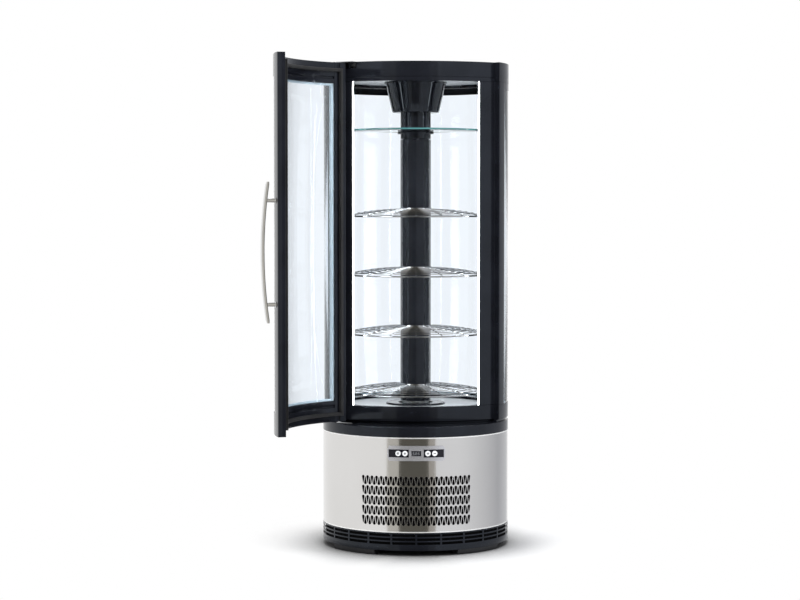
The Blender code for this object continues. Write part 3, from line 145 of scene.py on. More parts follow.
def seen_directly(tree):
    """1 where a ray comes from the camera, a mirror-like surface or glass."""
    path = add(tree, "LightPath")
    seen = path.outputs["Is Camera Ray"]
    for kind in ("Is Glossy Ray", "Is Transmission Ray"):
        seen = add(tree, "Math", seen, path.outputs[kind], operation="MAXIMUM")
    return seen


def lamp(name, place, aim, width, height, power, color):
    light = new_object(name, bpy.data.lights.new(name, "AREA"))
    light.data.shape, light.data.size, light.data.size_y = "RECTANGLE", width, height
    light.data.energy, light.data.color = power, color
    light.location = AXIS + Vector(place)
    light.rotation_euler = (Vector(aim) - Vector(place)).to_track_quat("-Z", "Y").to_euler()
    light.visible_glossy = False


world = bpy.data.worlds.new("white_room")
scene.world = world
world.use_nodes = True
tree = world.node_tree
tree.nodes.clear()
strength = add(tree, "MapRange", Value=seen_directly(tree), To_Min=ROOM_LIGHT, To_Max=1.0)
room = add(tree, "Background", Color=WHITE_LIGHT, Strength=strength)
add(tree, "OutputWorld", Surface=room)
lamp("left_softbox", (-3.2, -2.6, 2.2), (0, 0, 0.9), 1.6, 2.6, 95, (1.0, 0.98, 0.95))
lamp("right_softbox", (3.4, -1.6, 2.0), (0, 0, 0.9), 1.2, 2.6, 60, (0.95, 0.97, 1.0))
lamp("top_softbox", (0.2, 0.9, 4.2), (0, 0, 0), 2.6, 2.6, 110, (1, 1, 1))
lamp("front_softbox", (0.2, -3.0, 3.3), (0, 0, 0.6), 1.4, 1.0, 90, (0.96, 0.98, 1.0))
print("lamps:", len(bpy.data.lights))

# %% [markdown]
# The floor is pale near the case and melts into the white room further out. Its colour carries a painted
# contact shadow: an ambient occlusion node darkens it under the rim of the plinth, which gives the case its
# footing.

# %% Floor
FLOOR = 30.0
SHADE_REACH, SHADE_RANGE = 0.3, (0.45, 0.95)
SHADE_COLOR, FLOOR_COLOR = (0.08, 0.08, 0.082, 1), (0.8, 0.8, 0.805, 1)
FADE_FROM, FADE_TO = 0.4, 0.76


def stage_plane(name, corners, material):
    mesh = bpy.data.meshes.new(name)
    mesh.from_pydata(corners, [], [(0, 1, 2, 3)])
    plane = new_object(name, mesh)
    plane.data.materials.append(material)
    return plane


def new_material(name):
    made = bpy.data.materials.new(name)
    made.use_nodes = True
    return made, made.node_tree, made.node_tree.nodes["Principled BSDF"]


paint, tree, shader = new_material("floor_paint")
# painted shadow: the floor's colour goes from FLOOR_COLOR to SHADE_COLOR where the ambient occlusion node finds it
# closed in
nearby = add(tree, "AmbientOcclusion", Distance=SHADE_REACH, samples=8)
depth = add(tree, "MapRange", Value=nearby.outputs["AO"], From_Min=SHADE_RANGE[0],
            From_Max=SHADE_RANGE[1])
tone = add(tree, "Mix", data_type="RGBA", A=SHADE_COLOR, B=FLOOR_COLOR,
           Factor=depth)
feed(tree, shader, Roughness=0.55, Base_Color=tone)
where = add(tree, "TexCoord")
offset = add(tree, "VectorMath", where.outputs["Object"], AXIS, operation="SUBTRACT")
length = add(tree, "VectorMath", offset, operation="LENGTH")
fade = add(tree, "MapRange", interpolation_type="SMOOTHSTEP", Value=length, From_Min=FADE_FROM, From_Max=FADE_TO)
shown = add(tree, "Math", fade, seen_directly(tree), operation="MULTIPLY")
white = add(tree, "Emission", Color=WHITE_LIGHT, Strength=1.0)
mix = add(tree, "MixShader", shown, shader, white)
feed(tree, tree.nodes["Material Output"], Surface=mix)
stage_plane("floor", [(-FLOOR, -FLOOR, 0), (FLOOR, -FLOOR, 0), (FLOOR, FLOOR, 0), (-FLOOR, FLOOR, 0)], paint)
print("floor nodes:", len(tree.nodes))

# %% [markdown]
# What a mirror-like surface shows is what stands before it. The photograph's steel has a dark band in the
# middle with a softer step at each side, and a cooler right half. Upright cards in front of the case and
# round its right side give it that. They show in reflections alone, and neither light the case nor shade it.

# %% Cards for the reflections
CARD_BACK, CARD_TOP, MAT_Z, MAT_EDGE = 0.96, 2.6, 0.002, -0.35
CASE_R = 0.345


def reflected(name, corners, color):
    paint, tree, shader = new_material(name + "_paint")
    feed(tree, shader, Base_Color=(0, 0, 0, 1), Specular_IOR_Level=0.0, Emission_Color=(*color, 1),
         Emission_Strength=1.0)
    made = stage_plane(name, [(AXIS.x + x, AXIS.y + y, z) for x, y, z in corners], paint)
    made.visible_camera = made.visible_diffuse = made.visible_transmission = made.visible_shadow = False


def card(name, near, far, color):
    """A card that stands between two places in front of the case, and a mat from the case to its foot.
    Each end is the (x, y) of the mat's corner at the case and of the card's foot."""
    (near_left, left), (near_right, right) = near, far
    reflected(name, [(*left, MAT_Z), (*right, MAT_Z), (*right, CARD_TOP), (*left, CARD_TOP)], color)
    reflected(name + "_mat", [(*near_left, MAT_Z), (*near_right, MAT_Z), (*right, MAT_Z), (*left, MAT_Z)],
              color)


ENDS = [((x, y), (far_x, -CARD_BACK)) for x, y, far_x in (
    (-0.11, -CASE_R, -0.56), (-0.062, MAT_EDGE, -0.3), (0.0455, MAT_EDGE, 0.215), (0.0713, MAT_EDGE, 0.35))]
card("step_card_left", *ENDS[0:2], (0.57, 0.555, 0.515))
card("dark_card", *ENDS[1:3], (0.115, 0.11, 0.095))
card("step_card_right", *ENDS[2:4], (0.42, 0.4, 0.37))
COOL_R, COOL_FROM, COOL_TO, COOL_STEPS = 2.4, 12.5, 80.0, 30
COOL_LIGHT, COOL_DARK = Vector((0.84, 0.85, 0.875)), Vector((0.5, 0.51, 0.54))
COOL_DARKEST_DEG, COOL_SPREAD_DEG, COOL_FALL = 62.0, 36, 1.2


def mirrored(deg):
    """Where a look from the front that meets the case at this angle goes on to: the case, and the far card."""
    turn = radians(deg)
    near = Vector((sin(turn), -cos(turn))) * CASE_R
    away = Vector((sin(2 * turn), -cos(2 * turn)))
    reach = -near.dot(away) + sqrt(near.dot(away) ** 2 + COOL_R ** 2 - near.length_squared)
    return tuple(near), tuple(near + away * reach)


for step in range(COOL_STEPS):
    from_deg, to_deg = (COOL_FROM + (COOL_TO - COOL_FROM) * (step + k) / COOL_STEPS for k in (0, 1))
    off_darkest = abs((from_deg + to_deg) / 2 - COOL_DARKEST_DEG)
    depth = max(0.0, 1 - off_darkest / COOL_SPREAD_DEG) ** COOL_FALL
    card("cool_card_%02d" % step, mirrored(from_deg), mirrored(to_deg), COOL_LIGHT.lerp(COOL_DARK, depth))
print("cards:", 3 + COOL_STEPS)

# %% [markdown]
# Real surfaces are never quite even. Three node groups vary them: soft clouds, the long fine scratches of
# brushed metal, and fine specks. Each material uses them with its own scale and strength. All read Object
# coordinates, so nothing slides when a piece moves.

# %% Shared node groups
def noise_group(name, stretch):
    """Noise from Object coordinates, stretched along the axes, put out between Low and High."""
    made = bpy.data.node_groups.new(name, "ShaderNodeTree")
    for label, value in (("Scale", 20.0), ("Low", 0.0), ("High", 1.0)):
        socket = made.interface.new_socket(label, in_out="INPUT", socket_type="NodeSocketFloat")
        socket.default_value = value
    made.interface.new_socket("Value", in_out="OUTPUT", socket_type="NodeSocketFloat")
    given = add(made, "NodeGroupInput").outputs
    where = add(made, "TexCoord")
    mapping = add(made, "Mapping", Vector=where.outputs["Object"], Scale=stretch)
    noise = add(made, "TexNoise", Vector=mapping, Scale=given["Scale"], Detail=4.0)
    level = add(made, "MapRange", Value=noise.outputs["Fac"], From_Min=0.3, From_Max=0.7,
                To_Min=given["Low"], To_Max=given["High"])
    add(made, "NodeGroupOutput", Value=level)
    return made


CLOUDS = noise_group("soft_clouds", (1, 1, 1))
BRUSHED = noise_group("brushed_lines", (0.02, 0.02, 1))
SPECKS = noise_group("fine_specks", (1, 1, 1))
print("groups:", [made.name for made in bpy.data.node_groups])

# %% [markdown]
# A finish is a Principled shader. Its colour drifts a little with the clouds, its roughness with the
# specks or lines, and a fine bump breaks up the highlight. What is even all over is set on the shader's
# own sockets. Glass is a finish too, one that lets light through and leans to blue. Each finish knows
# the slot that names it, and the first one of a slot also serves the solids that stay.

# %% Finishes
SLOT_OF, BY_SLOT = {}, {}


def finish(name, slot, low, high, rough, metal=0.0, bump=0.0, bump_scale=400.0, bump_group=SPECKS,
           cloud_scale=9.0, **sockets):
    """Colour between low and high, roughness between its two values, and a bump of bump metres."""
    material, tree, shader = new_material(name)
    clouds = add(tree, "Group", node_tree=CLOUDS, Scale=cloud_scale)
    blend = add(tree, "Mix", data_type="RGBA", A=(*low, 1), B=(*high, 1), Factor=clouds)
    wear = add(tree, "Group", node_tree=bump_group, Scale=bump_scale)
    level = add(tree, "MapRange", Value=wear, To_Min=rough[0], To_Max=rough[1])
    feed(tree, shader, Base_Color=blend, Roughness=level, Metallic=metal, **sockets)
    if bump:
        relief = add(tree, "Bump", Strength=1.0, Distance=bump, Height=wear)
        feed(tree, shader, Normal=relief)
    SLOT_OF[material.name] = slot
    BY_SLOT.setdefault(slot, material)
    return material


def glass(name, color):
    return finish(name, "clear_glass", color, color, (0.0, 0.004), cloud_scale=3.0, Transmission_Weight=1.0,
                  IOR=1.25)


GLOSS_BLACK = finish("gloss_black", "black_gloss", (0.006, 0.0065, 0.009), (0.01, 0.011, 0.015), (0.07, 0.13),
                     0, 4e-6, 160, Specular_IOR_Level=0.28, Specular_Tint=(0.8, 0.9, 1.0, 1))
MATTE_BLACK = finish("matte_black", "black_matte", (0.01, 0.01, 0.011), (0.018, 0.018, 0.02), (0.5, 0.64),
                     0, 4e-5, 1200, Specular_IOR_Level=0.3)
# Painted shade: a black with almost no gloss, for the sheets that stand in for the shade behind the louvres and
# the grille.
SHADOW_BLACK = finish("shadow_black", "black_matte", (0.002, 0.002, 0.0022), (0.004, 0.004, 0.0044),
                      (0.8, 0.95), 0, 4e-5, 1200, Specular_IOR_Level=0.05)
STAINLESS = finish("brushed_stainless", "stainless", (0.67, 0.66, 0.645), (0.72, 0.71, 0.7), (0.09, 0.15),
                   1, 8e-7, 900, BRUSHED, cloud_scale=2.5)
HEM_STEEL = finish("bright_hem", "stainless", (0.8, 0.8, 0.79), (0.88, 0.88, 0.87), (0.28, 0.38),
                   0.5, 2e-6, 700)
HANDLE_STEEL = finish("polished_stainless", "stainless", (0.66, 0.655, 0.65), (0.76, 0.755, 0.75),
                      (0.12, 0.2), 1, 2e-6, 700)
SILVER = finish("silver_moulding", "silver_plastic", (0.5, 0.5, 0.53), (0.56, 0.56, 0.59), (0.26, 0.34),
                0.7, 1e-5, 1400)
CHROME = finish("chromed_wire", "chrome", (0.36, 0.37, 0.38), (0.48, 0.49, 0.5), (0.06, 0.13), 1, 3e-6, 500)
RUBBER = finish("black_rubber", "rubber", (0.01, 0.01, 0.011), (0.018, 0.018, 0.019), (0.62, 0.78),
                0, 4e-5, 1500)
ALUMINIUM = finish("aluminium_fin", "aluminium", (0.55, 0.56, 0.57), (0.66, 0.67, 0.68), (0.3, 0.42),
                   1, 1e-5, 600)
OPAL = finish("opal_strip", "light_strip", (0.8, 0.81, 0.8), (0.86, 0.87, 0.86), (0.28, 0.36), 0, 1e-5,
              Emission_Color=(0.94, 0.98, 1, 1), Emission_Strength=14.0)
BUTTON = finish("button_white", "button_white", (0.72, 0.73, 0.74), (0.8, 0.81, 0.82), (0.22, 0.32),
                0, 1e-5, 1500)
SCREEN = finish("screen_black", "black_gloss", (0.008, 0.008, 0.012), (0.012, 0.012, 0.017), (0.05, 0.1),
                Specular_IOR_Level=0.22)
DIGIT = finish("screen_digit", "button_white", (0.26, 0.27, 0.28), (0.34, 0.35, 0.36), (0.3, 0.4))
MARK = finish("button_mark", "button_white", (0.02, 0.022, 0.028), (0.035, 0.037, 0.045), (0.4, 0.55))
CLEAR = glass("clear_glass", (0.945, 0.972, 1.0))
SHELF_GLASS = glass("shelf_glass", (0.97, 0.995, 0.995))
GLASS_EDGE = finish("glass_edge", "clear_glass", (0.05, 0.16, 0.17), (0.08, 0.22, 0.22), (0.05, 0.12))
SPACER = finish("glass_spacer", "aluminium", (0.5, 0.61, 0.68), (0.58, 0.69, 0.76), (0.34, 0.44), 0, 1e-5)
finish("white_coating", "white_panel", (0.84, 0.89, 0.93), (0.88, 0.92, 0.95), (0.32, 0.42), 0, 1e-5, 700)
finish("plain_steel", "steel", (0.34, 0.35, 0.36), (0.42, 0.43, 0.44), (0.36, 0.5), 1, 1e-5, 600)
finish("foam", "foam", (0.74, 0.69, 0.53), (0.84, 0.8, 0.66), (0.82, 0.95), 0, 3e-4, 500)
finish("copper_tube", "copper", (0.62, 0.28, 0.17), (0.74, 0.38, 0.24), (0.28, 0.44), 1, 2e-5, 300)
finish("circuit_board", "circuit_green", (0.02, 0.13, 0.05), (0.04, 0.2, 0.09), (0.4, 0.55), 0, 2e-5)
print("finishes:", len(SLOT_OF), "for", len(BY_SLOT), "slots")

# %% [markdown]
# Nearly every wall of this case is a section carried round an arc. Blender could do that with Spin or a
# curve bevel. A small loft in bmesh is shorter and keeps exact angles: it joins one ring of points to the
# next, and closes the two ends when the arc is open.

# %% Arcs and lofts
BOW = AXIS + Vector((0, BOW_Y, 0))
UP = Vector((0, 0, 1))
ARC_STEP = 1.5
FINE = 240
CORE = 0.0001


def direction(deg):
    return Vector((sin(radians(deg)), -cos(radians(deg)), 0))


def sideways(deg):
    """Level, and square to the direction at this angle."""
    out = direction(deg)
    return Vector((-out.y, out.x, 0))


def place(radius, deg, z=0.0, centre=AXIS):
    point = centre + direction(deg) * radius
    point.z = z
    return point


def on_bow(radius, deg):
    return place(radius, deg, 0, BOW)


def spread(start, end, step=ARC_STEP):
    count = max(1, round(abs(end - start) / step))
    return [start + (end - start) * k / count for k in range(count + 1)]


def loft(rings, wraps=False):
    bm = bmesh.new()
    rows = [[bm.verts.new(point) for point in ring] for ring in rings]
    pairs = list(zip(rows, rows[1:])) + ([(rows[-1], rows[0])] if wraps else [])
    for first, second in pairs:
        for k in range(len(first)):
            j = (k + 1) % len(first)
            bm.faces.new((first[k], first[j], second[j], second[k]))
    if not wraps:
        bm.faces.new(rows[0])
        bm.faces.new(rows[-1])
    return bm


def arc(section, start, end, centre=AXIS, step=ARC_STEP):
    """A closed section of (radius, z) carried round from start to end."""
    return loft([[place(radius, deg, z, centre) for radius, z in section] for deg in spread(start, end, step)])


def turned(section, steps=160, centre=AXIS):
    """A closed section of (radius, z) carried all the way round."""
    return loft([[place(radius, 360 * k / steps, z, centre) for radius, z in section]
                 for k in range(steps)], True)


def plug(profile, deg, z, centre=AXIS, sides=24):
    """A round shape whose own axis points outwards at this angle, from (its radius, how far out)."""
    turns = [radians(360 / sides * k) for k in range(sides)]
    return loft([[place(reach, deg, z, centre) + (sideways(deg) * cos(turn) + UP * sin(turn)) * radius
                  for turn in turns] for radius, reach in profile])


def standing(outline, low, high):
    """An outline in plan, raised from low to high."""
    return loft([[Vector((point[0], point[1], z)) for point in outline] for z in (low, high)])


def oblong(low, high):
    return [(low[0], low[1]), (high[0], low[1]), (high[0], high[1]), (low[0], high[1])]


# %% [markdown]
# No moulded edge is perfectly sharp: a tiny round catches a line of light, which makes a black part
# readable. A Bevel modifier would do it afterwards. Here a section's corners are rounded before it is
# carried round, which costs a few points and never fails.

# %% Rounded corners
def corner(here, before, after, radius, steps=3):
    """The points of one corner, rounded by no more than its neighbours leave room for."""
    back, ahead = before - here, after - here
    size = min(radius, back.length * 0.45, ahead.length * 0.45)
    if size <= 0:
        return [here]
    start, end = here + back.normalized() * size, here + ahead.normalized() * size
    return [start * (1 - t) ** 2 + here * 2 * t * (1 - t) + end * t ** 2
            for t in [step / steps for step in range(steps + 1)]]


def rounded(points, radius, steps=3):
    """A closed run of points with its corners rounded, by one radius or one for each corner."""
    made = []
    points = [Vector(point) for point in points]
    sizes = radius if isinstance(radius, list) else [radius] * len(points)
    for k, (here, size) in enumerate(zip(points, sizes)):
        made += corner(here, points[k - 1], points[(k + 1) % len(points)], size, steps)
    return made


def stepped(radii, levels):
    """A run of upright and level walls: one radius for each wall, and the heights where they step. It
    closes itself where there are as many heights as walls."""
    return [(radius, levels[(k + j) % len(levels)]) for k, radius in enumerate(radii) for j in (0, 1)]


def box_section(inner, outer, low, high, radius=0.0008, steps=2):
    return rounded(stepped((outer, inner), (low, high)), radius, steps)


# %% [markdown]
# A finished piece gets its material and the body that it moves with, and the coarse solid that it stands
# for is hidden. The door is built shut, where its sizes are easy to read, and each of its pieces is then
# swung open about the pin, to where its solid stands.

# %% Finishing a piece
DOOR_TURN = Matrix.Translation(PIN) @ Matrix.Rotation(radians(OPEN_DEG), 4, "Z") @ Matrix.Translation(-PIN)
CABINET = "cabinet"
WELD = 0.000003
made_names = []


def mesh_of(name, bm):
    mesh = bpy.data.meshes.new(name)
    bm.to_mesh(mesh)
    bm.free()
    return mesh


def merged(*shapes):
    """Several bmeshes as one."""
    whole = bmesh.new()
    for shape in shapes:
        mesh = mesh_of("part", shape)
        whole.from_mesh(mesh)
        bpy.data.meshes.remove(mesh)
    return whole


def piece(name, bm, stands_for="", material=GLOSS_BLACK, body=CABINET, sharp=32, weld=True):
    if weld:
        bmesh.ops.remove_doubles(bm, verts=bm.verts, dist=WELD)
    bmesh.ops.recalc_face_normals(bm, faces=bm.faces)
    if body == "door":
        bm.transform(DOOR_TURN)
    dress(name, mesh_of(name, bm), stands_for, material, body, sharp)


def dress(name, mesh, stands_for="", material=GLOSS_BLACK, body=CABINET, sharp=32):
    obj = new_object(name, mesh)
    if not mesh.materials:
        mesh.materials.append(material)
    mesh.shade_smooth()
    mesh.set_sharp_from_angle(angle=radians(sharp))
    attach(obj, body)
    if stands_for:
        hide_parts(stands_for)
    made_names.append(name)


# %% [markdown]
# Drops, ribs, wires and fins repeat by the dozen. One Geometry Nodes tree lays them all out: it sets out
# points in columns and rows, turns each copy a little further round the axis or shifts it along, then
# realizes the copies and gives them their finish. The result is taken as a plain mesh.

# %% An array tree for everything that repeats
def new_array_tree():
    tree = bpy.data.node_groups.new("rows_of_copies", "GeometryNodeTree")
    for label, kind in (("Shape", "Geometry"), ("Columns", "Int"), ("Rows", "Int"), ("Start", "Vector"),
                        ("Column Shift", "Vector"), ("Row Shift", "Vector"), ("First Turn", "Float"),
                        ("Turn", "Float"), ("Finish", "Material")):
        tree.interface.new_socket(label, in_out="INPUT", socket_type="NodeSocket" + kind)
    tree.interface.new_socket("Copies", in_out="OUTPUT", socket_type="NodeSocketGeometry")
    given = add(tree, "NodeGroupInput").outputs
    index = add(tree, "GeometryNodeInputIndex")

    def maths(operation, *inputs):
        return add(tree, "Math", *inputs, operation=operation)

    def scaled(vector, factor):
        return add(tree, "VectorMath", vector, operation="SCALE", Scale=factor)

    def summed(*vectors):
        return add(tree, "VectorMath", *vectors)

    row = maths("FLOOR", maths("DIVIDE", index, given["Columns"]))
    column = maths("SUBTRACT", index, maths("MULTIPLY", row, given["Columns"]))
    shift = summed(scaled(given["Column Shift"], column), scaled(given["Row Shift"], row))
    turn = maths("ADD", given["First Turn"], maths("MULTIPLY", given["Turn"], column))
    points = add(tree, "GeometryNodePoints", Count=maths("MULTIPLY", given["Columns"], given["Rows"]),
                 Position=summed(given["Start"], shift))
    copies = add(tree, "GeometryNodeInstanceOnPoints", Points=points, Instance=given["Shape"],
                 Rotation=add(tree, "CombineXYZ", Z=turn))
    real = add(tree, "GeometryNodeRealizeInstances", copies)
    add(tree, "NodeGroupOutput", add(tree, "GeometryNodeSetMaterial", Geometry=real, Material=given["Finish"]))
    return tree


ARRAY = new_array_tree()
SOCKETS = {item.name: item.identifier for item in ARRAY.interface.items_tree if item.in_out == "INPUT"}


def result_of(obj):
    """The mesh that an object's modifier makes."""
    bpy.context.view_layer.update()
    return bpy.data.meshes.new_from_object(obj.evaluated_get(bpy.context.evaluated_depsgraph_get()))


def copies_of(bm, material, **layout):
    """The plain mesh of all copies. Where they turn, the shape is drawn about the origin."""
    bmesh.ops.recalc_face_normals(bm, faces=bm.faces)
    seed = new_object("seed", mesh_of("seed", bm))
    modifier = seed.modifiers.new("copies", "NODES")
    modifier.node_group = ARRAY
    for label, value in {"Rows": 1, "Finish": material, **layout}.items():
        socket = SOCKETS[label.replace("_", " ")]
        modifier[socket] = tuple(value) if isinstance(value, Vector) else value
    mesh = result_of(seed)
    bpy.data.objects.remove(seed)
    return mesh


def tube(points, radius, sides=8, wraps=False, up=UP):
    """Wire along points; its section keeps one direction level with up."""
    rings = []
    count = len(points)
    for k, point in enumerate(points):
        before = points[k - 1] if wraps or k else point
        after = points[(k + 1) % count] if wraps or k < count - 1 else point
        along = (after - before).normalized()
        side = along.cross(up).normalized()
        top = side.cross(along).normalized()
        turns = [2 * pi * s / sides for s in range(sides)]
        rings.append([point + (side * cos(turn) + top * sin(turn)) * radius for turn in turns])
    return loft(rings, wraps)


print("array inputs:", list(SOCKETS))

# %% [markdown]
# The header and the sill are deep rings of glossy black plastic, round at the sides and back and cut to
# a flatter bow in front, where the door shuts. So the loft follows a list of stations: each knows a place
# on the outside and the angle of the room's wall that faces it. A fine groove runs round the header.

# %% The outline of the frame
STEP_IN_DEG, STEP_OUT_DEG, STEP_COUNT = 61.2, 72.0, 6
FRAME_ROUND, END_REACH = 0.003, 0.004


def side_deg(bow_deg):
    angle = radians(bow_deg)
    along = BOW_Y * cos(angle) + sqrt(BODY_R ** 2 - (BOW_Y * sin(angle)) ** 2)
    return degrees(atan2(along * sin(angle), along * cos(angle) - BOW_Y))


def bow_reach(radius, deg):
    """How far from the case's axis the bow of this radius lies at this angle."""
    along = BOW_Y * cos(radians(deg))
    return -along + sqrt(along ** 2 - BOW_Y ** 2 + radius ** 2)


def deg_of(point):
    return degrees(atan2(point.x - AXIS.x, AXIS.y - point.y))


def stations():
    """Places round the frame: radius, centre, angle, and the angle of the room's wall that it faces. Where
    the plan steps out from the bow to the round side, the step's inner corner faces a whole run of wall."""
    turns = [STEP_IN_DEG + (STEP_OUT_DEG - STEP_IN_DEG) * k / STEP_COUNT for k in range(1, STEP_COUNT + 1)]
    made = [(BODY_R, AXIS, deg, min(max(deg, STEP_OUT_DEG), 360 - STEP_OUT_DEG))
            for deg in spread(side_deg(FREE_SIDE_DEG), 360 - side_deg(HINGE_SIDE_DEG))]
    made += [(FRONT_R, BOW, -HINGE_SIDE_DEG, 360 - turn) for turn in reversed(turns)]
    for deg in spread(-HINGE_SIDE_DEG, FREE_SIDE_DEG):
        facing = deg_of(on_bow(FRONT_R, deg))
        made.append((FRONT_R, BOW, deg, min(max(facing, -STEP_IN_DEG), STEP_IN_DEG) % 360))
    return made + [(FRONT_R, BOW, FREE_SIDE_DEG, turn) for turn in turns]


def run(points, reach):
    """An open run of (inset, z) with its corners rounded. Past each end it goes on level by reach."""
    points = [Vector(point) for point in points]
    level = Vector((reach, 0))
    whole = [points[0] + level, *points, points[-1] + level]
    return [point for before, here, after in zip(whole, whole[1:], whole[2:])
            for point in corner(here, before, after, FRAME_ROUND)]


def frame_ring(outside, inside):
    """Two runs of (inset, z) joined into a ring: one follows the stations, one the wall of the room."""
    outer, inner = run(outside, END_REACH), run(inside, -END_REACH)
    rings = []
    for radius, centre, deg, facing in stations():
        room = ROOM_R
        if cos(radians(facing)) > 0:
            room = min(ROOM_R, bow_reach(FRONT_R - SILL_W, facing))
        rings.append([place(radius - inset, deg, z, centre) for inset, z in outer]
                     + [place(room - inset, facing, z) for inset, z in inner])
    return loft(rings, True)


# %% The header and the sill
HEADER_LOW, TOP = heights("top_frame")
NECK_LOW, OPENING_LOW = heights("bottom_frame")
NECK_IN, SILL_LOW = 0.009, 0.466
GROOVE_Z, GROOVE_HALF, GROOVE_IN = HEADER_LOW + 0.015, 0.0011, 0.0016
header = stepped((0, GROOVE_IN, 0), (HEADER_LOW, GROOVE_Z - GROOVE_HALF, GROOVE_Z + GROOVE_HALF, TOP))
piece("header", frame_ring(header, [(0, TOP), (0, HEADER_LOW)]), "top_frame")
sill = stepped((NECK_IN, 0), (NECK_LOW, SILL_LOW, OPENING_LOW))
piece("sill", frame_ring(sill, [(0, OPENING_LOW), (0, NECK_LOW)]), "bottom_frame")
print("header", round(HEADER_LOW, 3), "to", round(TOP, 3), "opening from", round(OPENING_LOW, 3))

# %% [markdown]
# Two broad posts stand beside the opening and two narrower ones at the back hold the glass. The front
# ones are followed in plan: round the inside, back along the outside and in along the bow.

# %% Posts
POST_IN_DEG, POST_OUT_DEG = 51.6, 70.3
REAR_POST_DEGS, REAR_POST_IN_R = (116.0, 128.0), 0.3
POST_ROUND, LIGHT_ROUND = 0.003, 0.001
POST_LOW, POST_HIGH = OPENING_LOW + GAP, HEADER_LOW - GAP
JAMB_X = bow_reach(FRONT_R, POST_IN_DEG) * sin(radians(POST_IN_DEG))
jamb_deg = degrees(asin(JAMB_X / FRONT_R))
jamb_in_deg = degrees(asin(JAMB_X / ROOM_R))
for side, sign, bow_side in (("left", -1, HINGE_SIDE_DEG), ("right", 1, FREE_SIDE_DEG)):
    outline = [place(ROOM_R, deg) for deg in spread(jamb_in_deg, POST_OUT_DEG)]
    outline += [place(BODY_R, deg) for deg in spread(POST_OUT_DEG, side_deg(bow_side))]
    outline += [on_bow(FRONT_R, deg) for deg in spread(bow_side, jamb_deg)]
    corners = [(AXIS.x + sign * (point.x - AXIS.x), point.y) for point in outline]
    piece("front_post_shell_" + side, standing(rounded(corners, POST_ROUND), POST_LOW, POST_HIGH),
          "front_post_" + side)
    start, end = sorted(sign * deg for deg in REAR_POST_DEGS)
    outline = [place(BODY_R, deg) for deg in spread(start, end)]
    outline += [place(REAR_POST_IN_R, deg) for deg in spread(end, start)]
    piece("rear_post_shell_" + side, standing(rounded(outline, POST_ROUND), POST_LOW, POST_HIGH),
          "rear_post_" + side)
    low, high = span("light_strip_" + side)
    light = standing(rounded(oblong(low, high), LIGHT_ROUND), low.z, high.z)
    piece("light_diffuser_" + side, light, "light_strip_" + side, OPAL)
print("posts and lights done:", len(made_names))

# %% [markdown]
# Each pane is double: a curved outer sheet, an air gap with a pale spacer bar along each edge, and a
# curved inner sheet. Both sheets are modelled with real thickness, because refraction needs a way in and
# a way out. The edges of the bars are what the eye reads as the outline of the glass. The fixed panes
# carry a black band at the head, outside and inside.

# %% Fixed glazing
BAR_W, PANE_T, PANE_ROUND = 0.008, 0.004, 0.0006
PANE_R, PANE_IN_R = 0.338, 0.32
REST = 0.0002
PANE_EDGE = 0.0006
BAND_H, BAND_T = 0.025, 0.0012


def double_glass(name, outer_r, inner_r, start, end, low, high, centre=AXIS, body=CABINET):
    sheets = [arc(box_section(radius - PANE_T, radius, low, high, PANE_ROUND), start, end, centre)
              for radius in (outer_r, inner_r)]
    piece(name + "_panes", merged(*sheets), name, CLEAR, body)
    wide = degrees(BAR_W / outer_r)
    bars = [arc(box_section(inner_r + REST, outer_r - PANE_T - REST, low_z, high_z, 0.0004), from_deg, to_deg,
                centre)
            for low_z, high_z, from_deg, to_deg in (
                (low, high, start, start + wide), (low, high, end - wide, end),
                (low, low + BAR_W, start + wide, end - wide), (high - BAR_W, high, start + wide, end - wide))]
    piece(name + "_spacer", merged(*bars), "", SPACER, body)


edge_deg = degrees(PANE_EDGE / PANE_R)
for name, start, end in (("side_glass_right", POST_OUT_DEG, REAR_POST_DEGS[0]),
                         ("rear_glass", REAR_POST_DEGS[1], 360 - REAR_POST_DEGS[1]),
                         ("side_glass_left", 360 - REAR_POST_DEGS[0], 360 - POST_OUT_DEG)):
    double_glass(name, PANE_R, PANE_IN_R, start + edge_deg, end - edge_deg, POST_LOW, POST_HIGH)
    bands = [arc(box_section(low_r, low_r + BAND_T, POST_HIGH - BAND_H, POST_HIGH - GAP, 0.0003, 1), start, end)
             for low_r in (PANE_R + REST, PANE_IN_R - PANE_T - REST - BAND_T)]
    piece(name + "_head_bands", merged(*bands))
print("glazing done:", len(made_names))

# %% [markdown]
# The door is a tall bow with the same black frame: a stile rounded about the hinge pin, a stile with the
# handle, two rails and double glass. A groove with a bead runs round the inner face, and a soft gasket
# sits outside it.

# %% Door frame
DOOR_LOW, DOOR_TOP = heights("door_hinge_stile")
PIN_BOW_R, PIN_BOW_DEG, DOOR_ROUND = 0.4886, -34.0, 0.0225
DOOR_FREE_DEG, STILE_DEG, ROUND_FROM_DEG = 37.5, 30.0, 33.2
RAIL_H = 0.075
BEAD_W, GROOVE_W, GROOVE_DEPTH = 0.016, 0.008, 0.006
FLOOR_R = DOOR_IN_R + GROOVE_DEPTH
EDGE_ROUND = 0.0022
DOOR_PANE_R, DOOR_PANE_IN_R = DOOR_R - 0.002, 0.482
bead_deg = STILE_DEG + degrees(BEAD_W / DOOR_IN_R)
groove_deg = bead_deg + degrees(GROOVE_W / DOOR_IN_R)
pin = on_bow(PIN_BOW_R, PIN_BOW_DEG)
first, last = (acos((radius - PIN_BOW_R) / DOOR_ROUND) for radius in (DOOR_R, DOOR_IN_R))
round_end = [pin + (direction(PIN_BOW_DEG) * cos(turn) - sideways(PIN_BOW_DEG) * sin(turn)) * DOOR_ROUND
             for turn in spread(first, last, (last - first) / 20)]
inner_face = stepped((DOOR_IN_R, FLOOR_R, DOOR_IN_R), (DOOR_FREE_DEG, groove_deg, bead_deg, STILE_DEG))
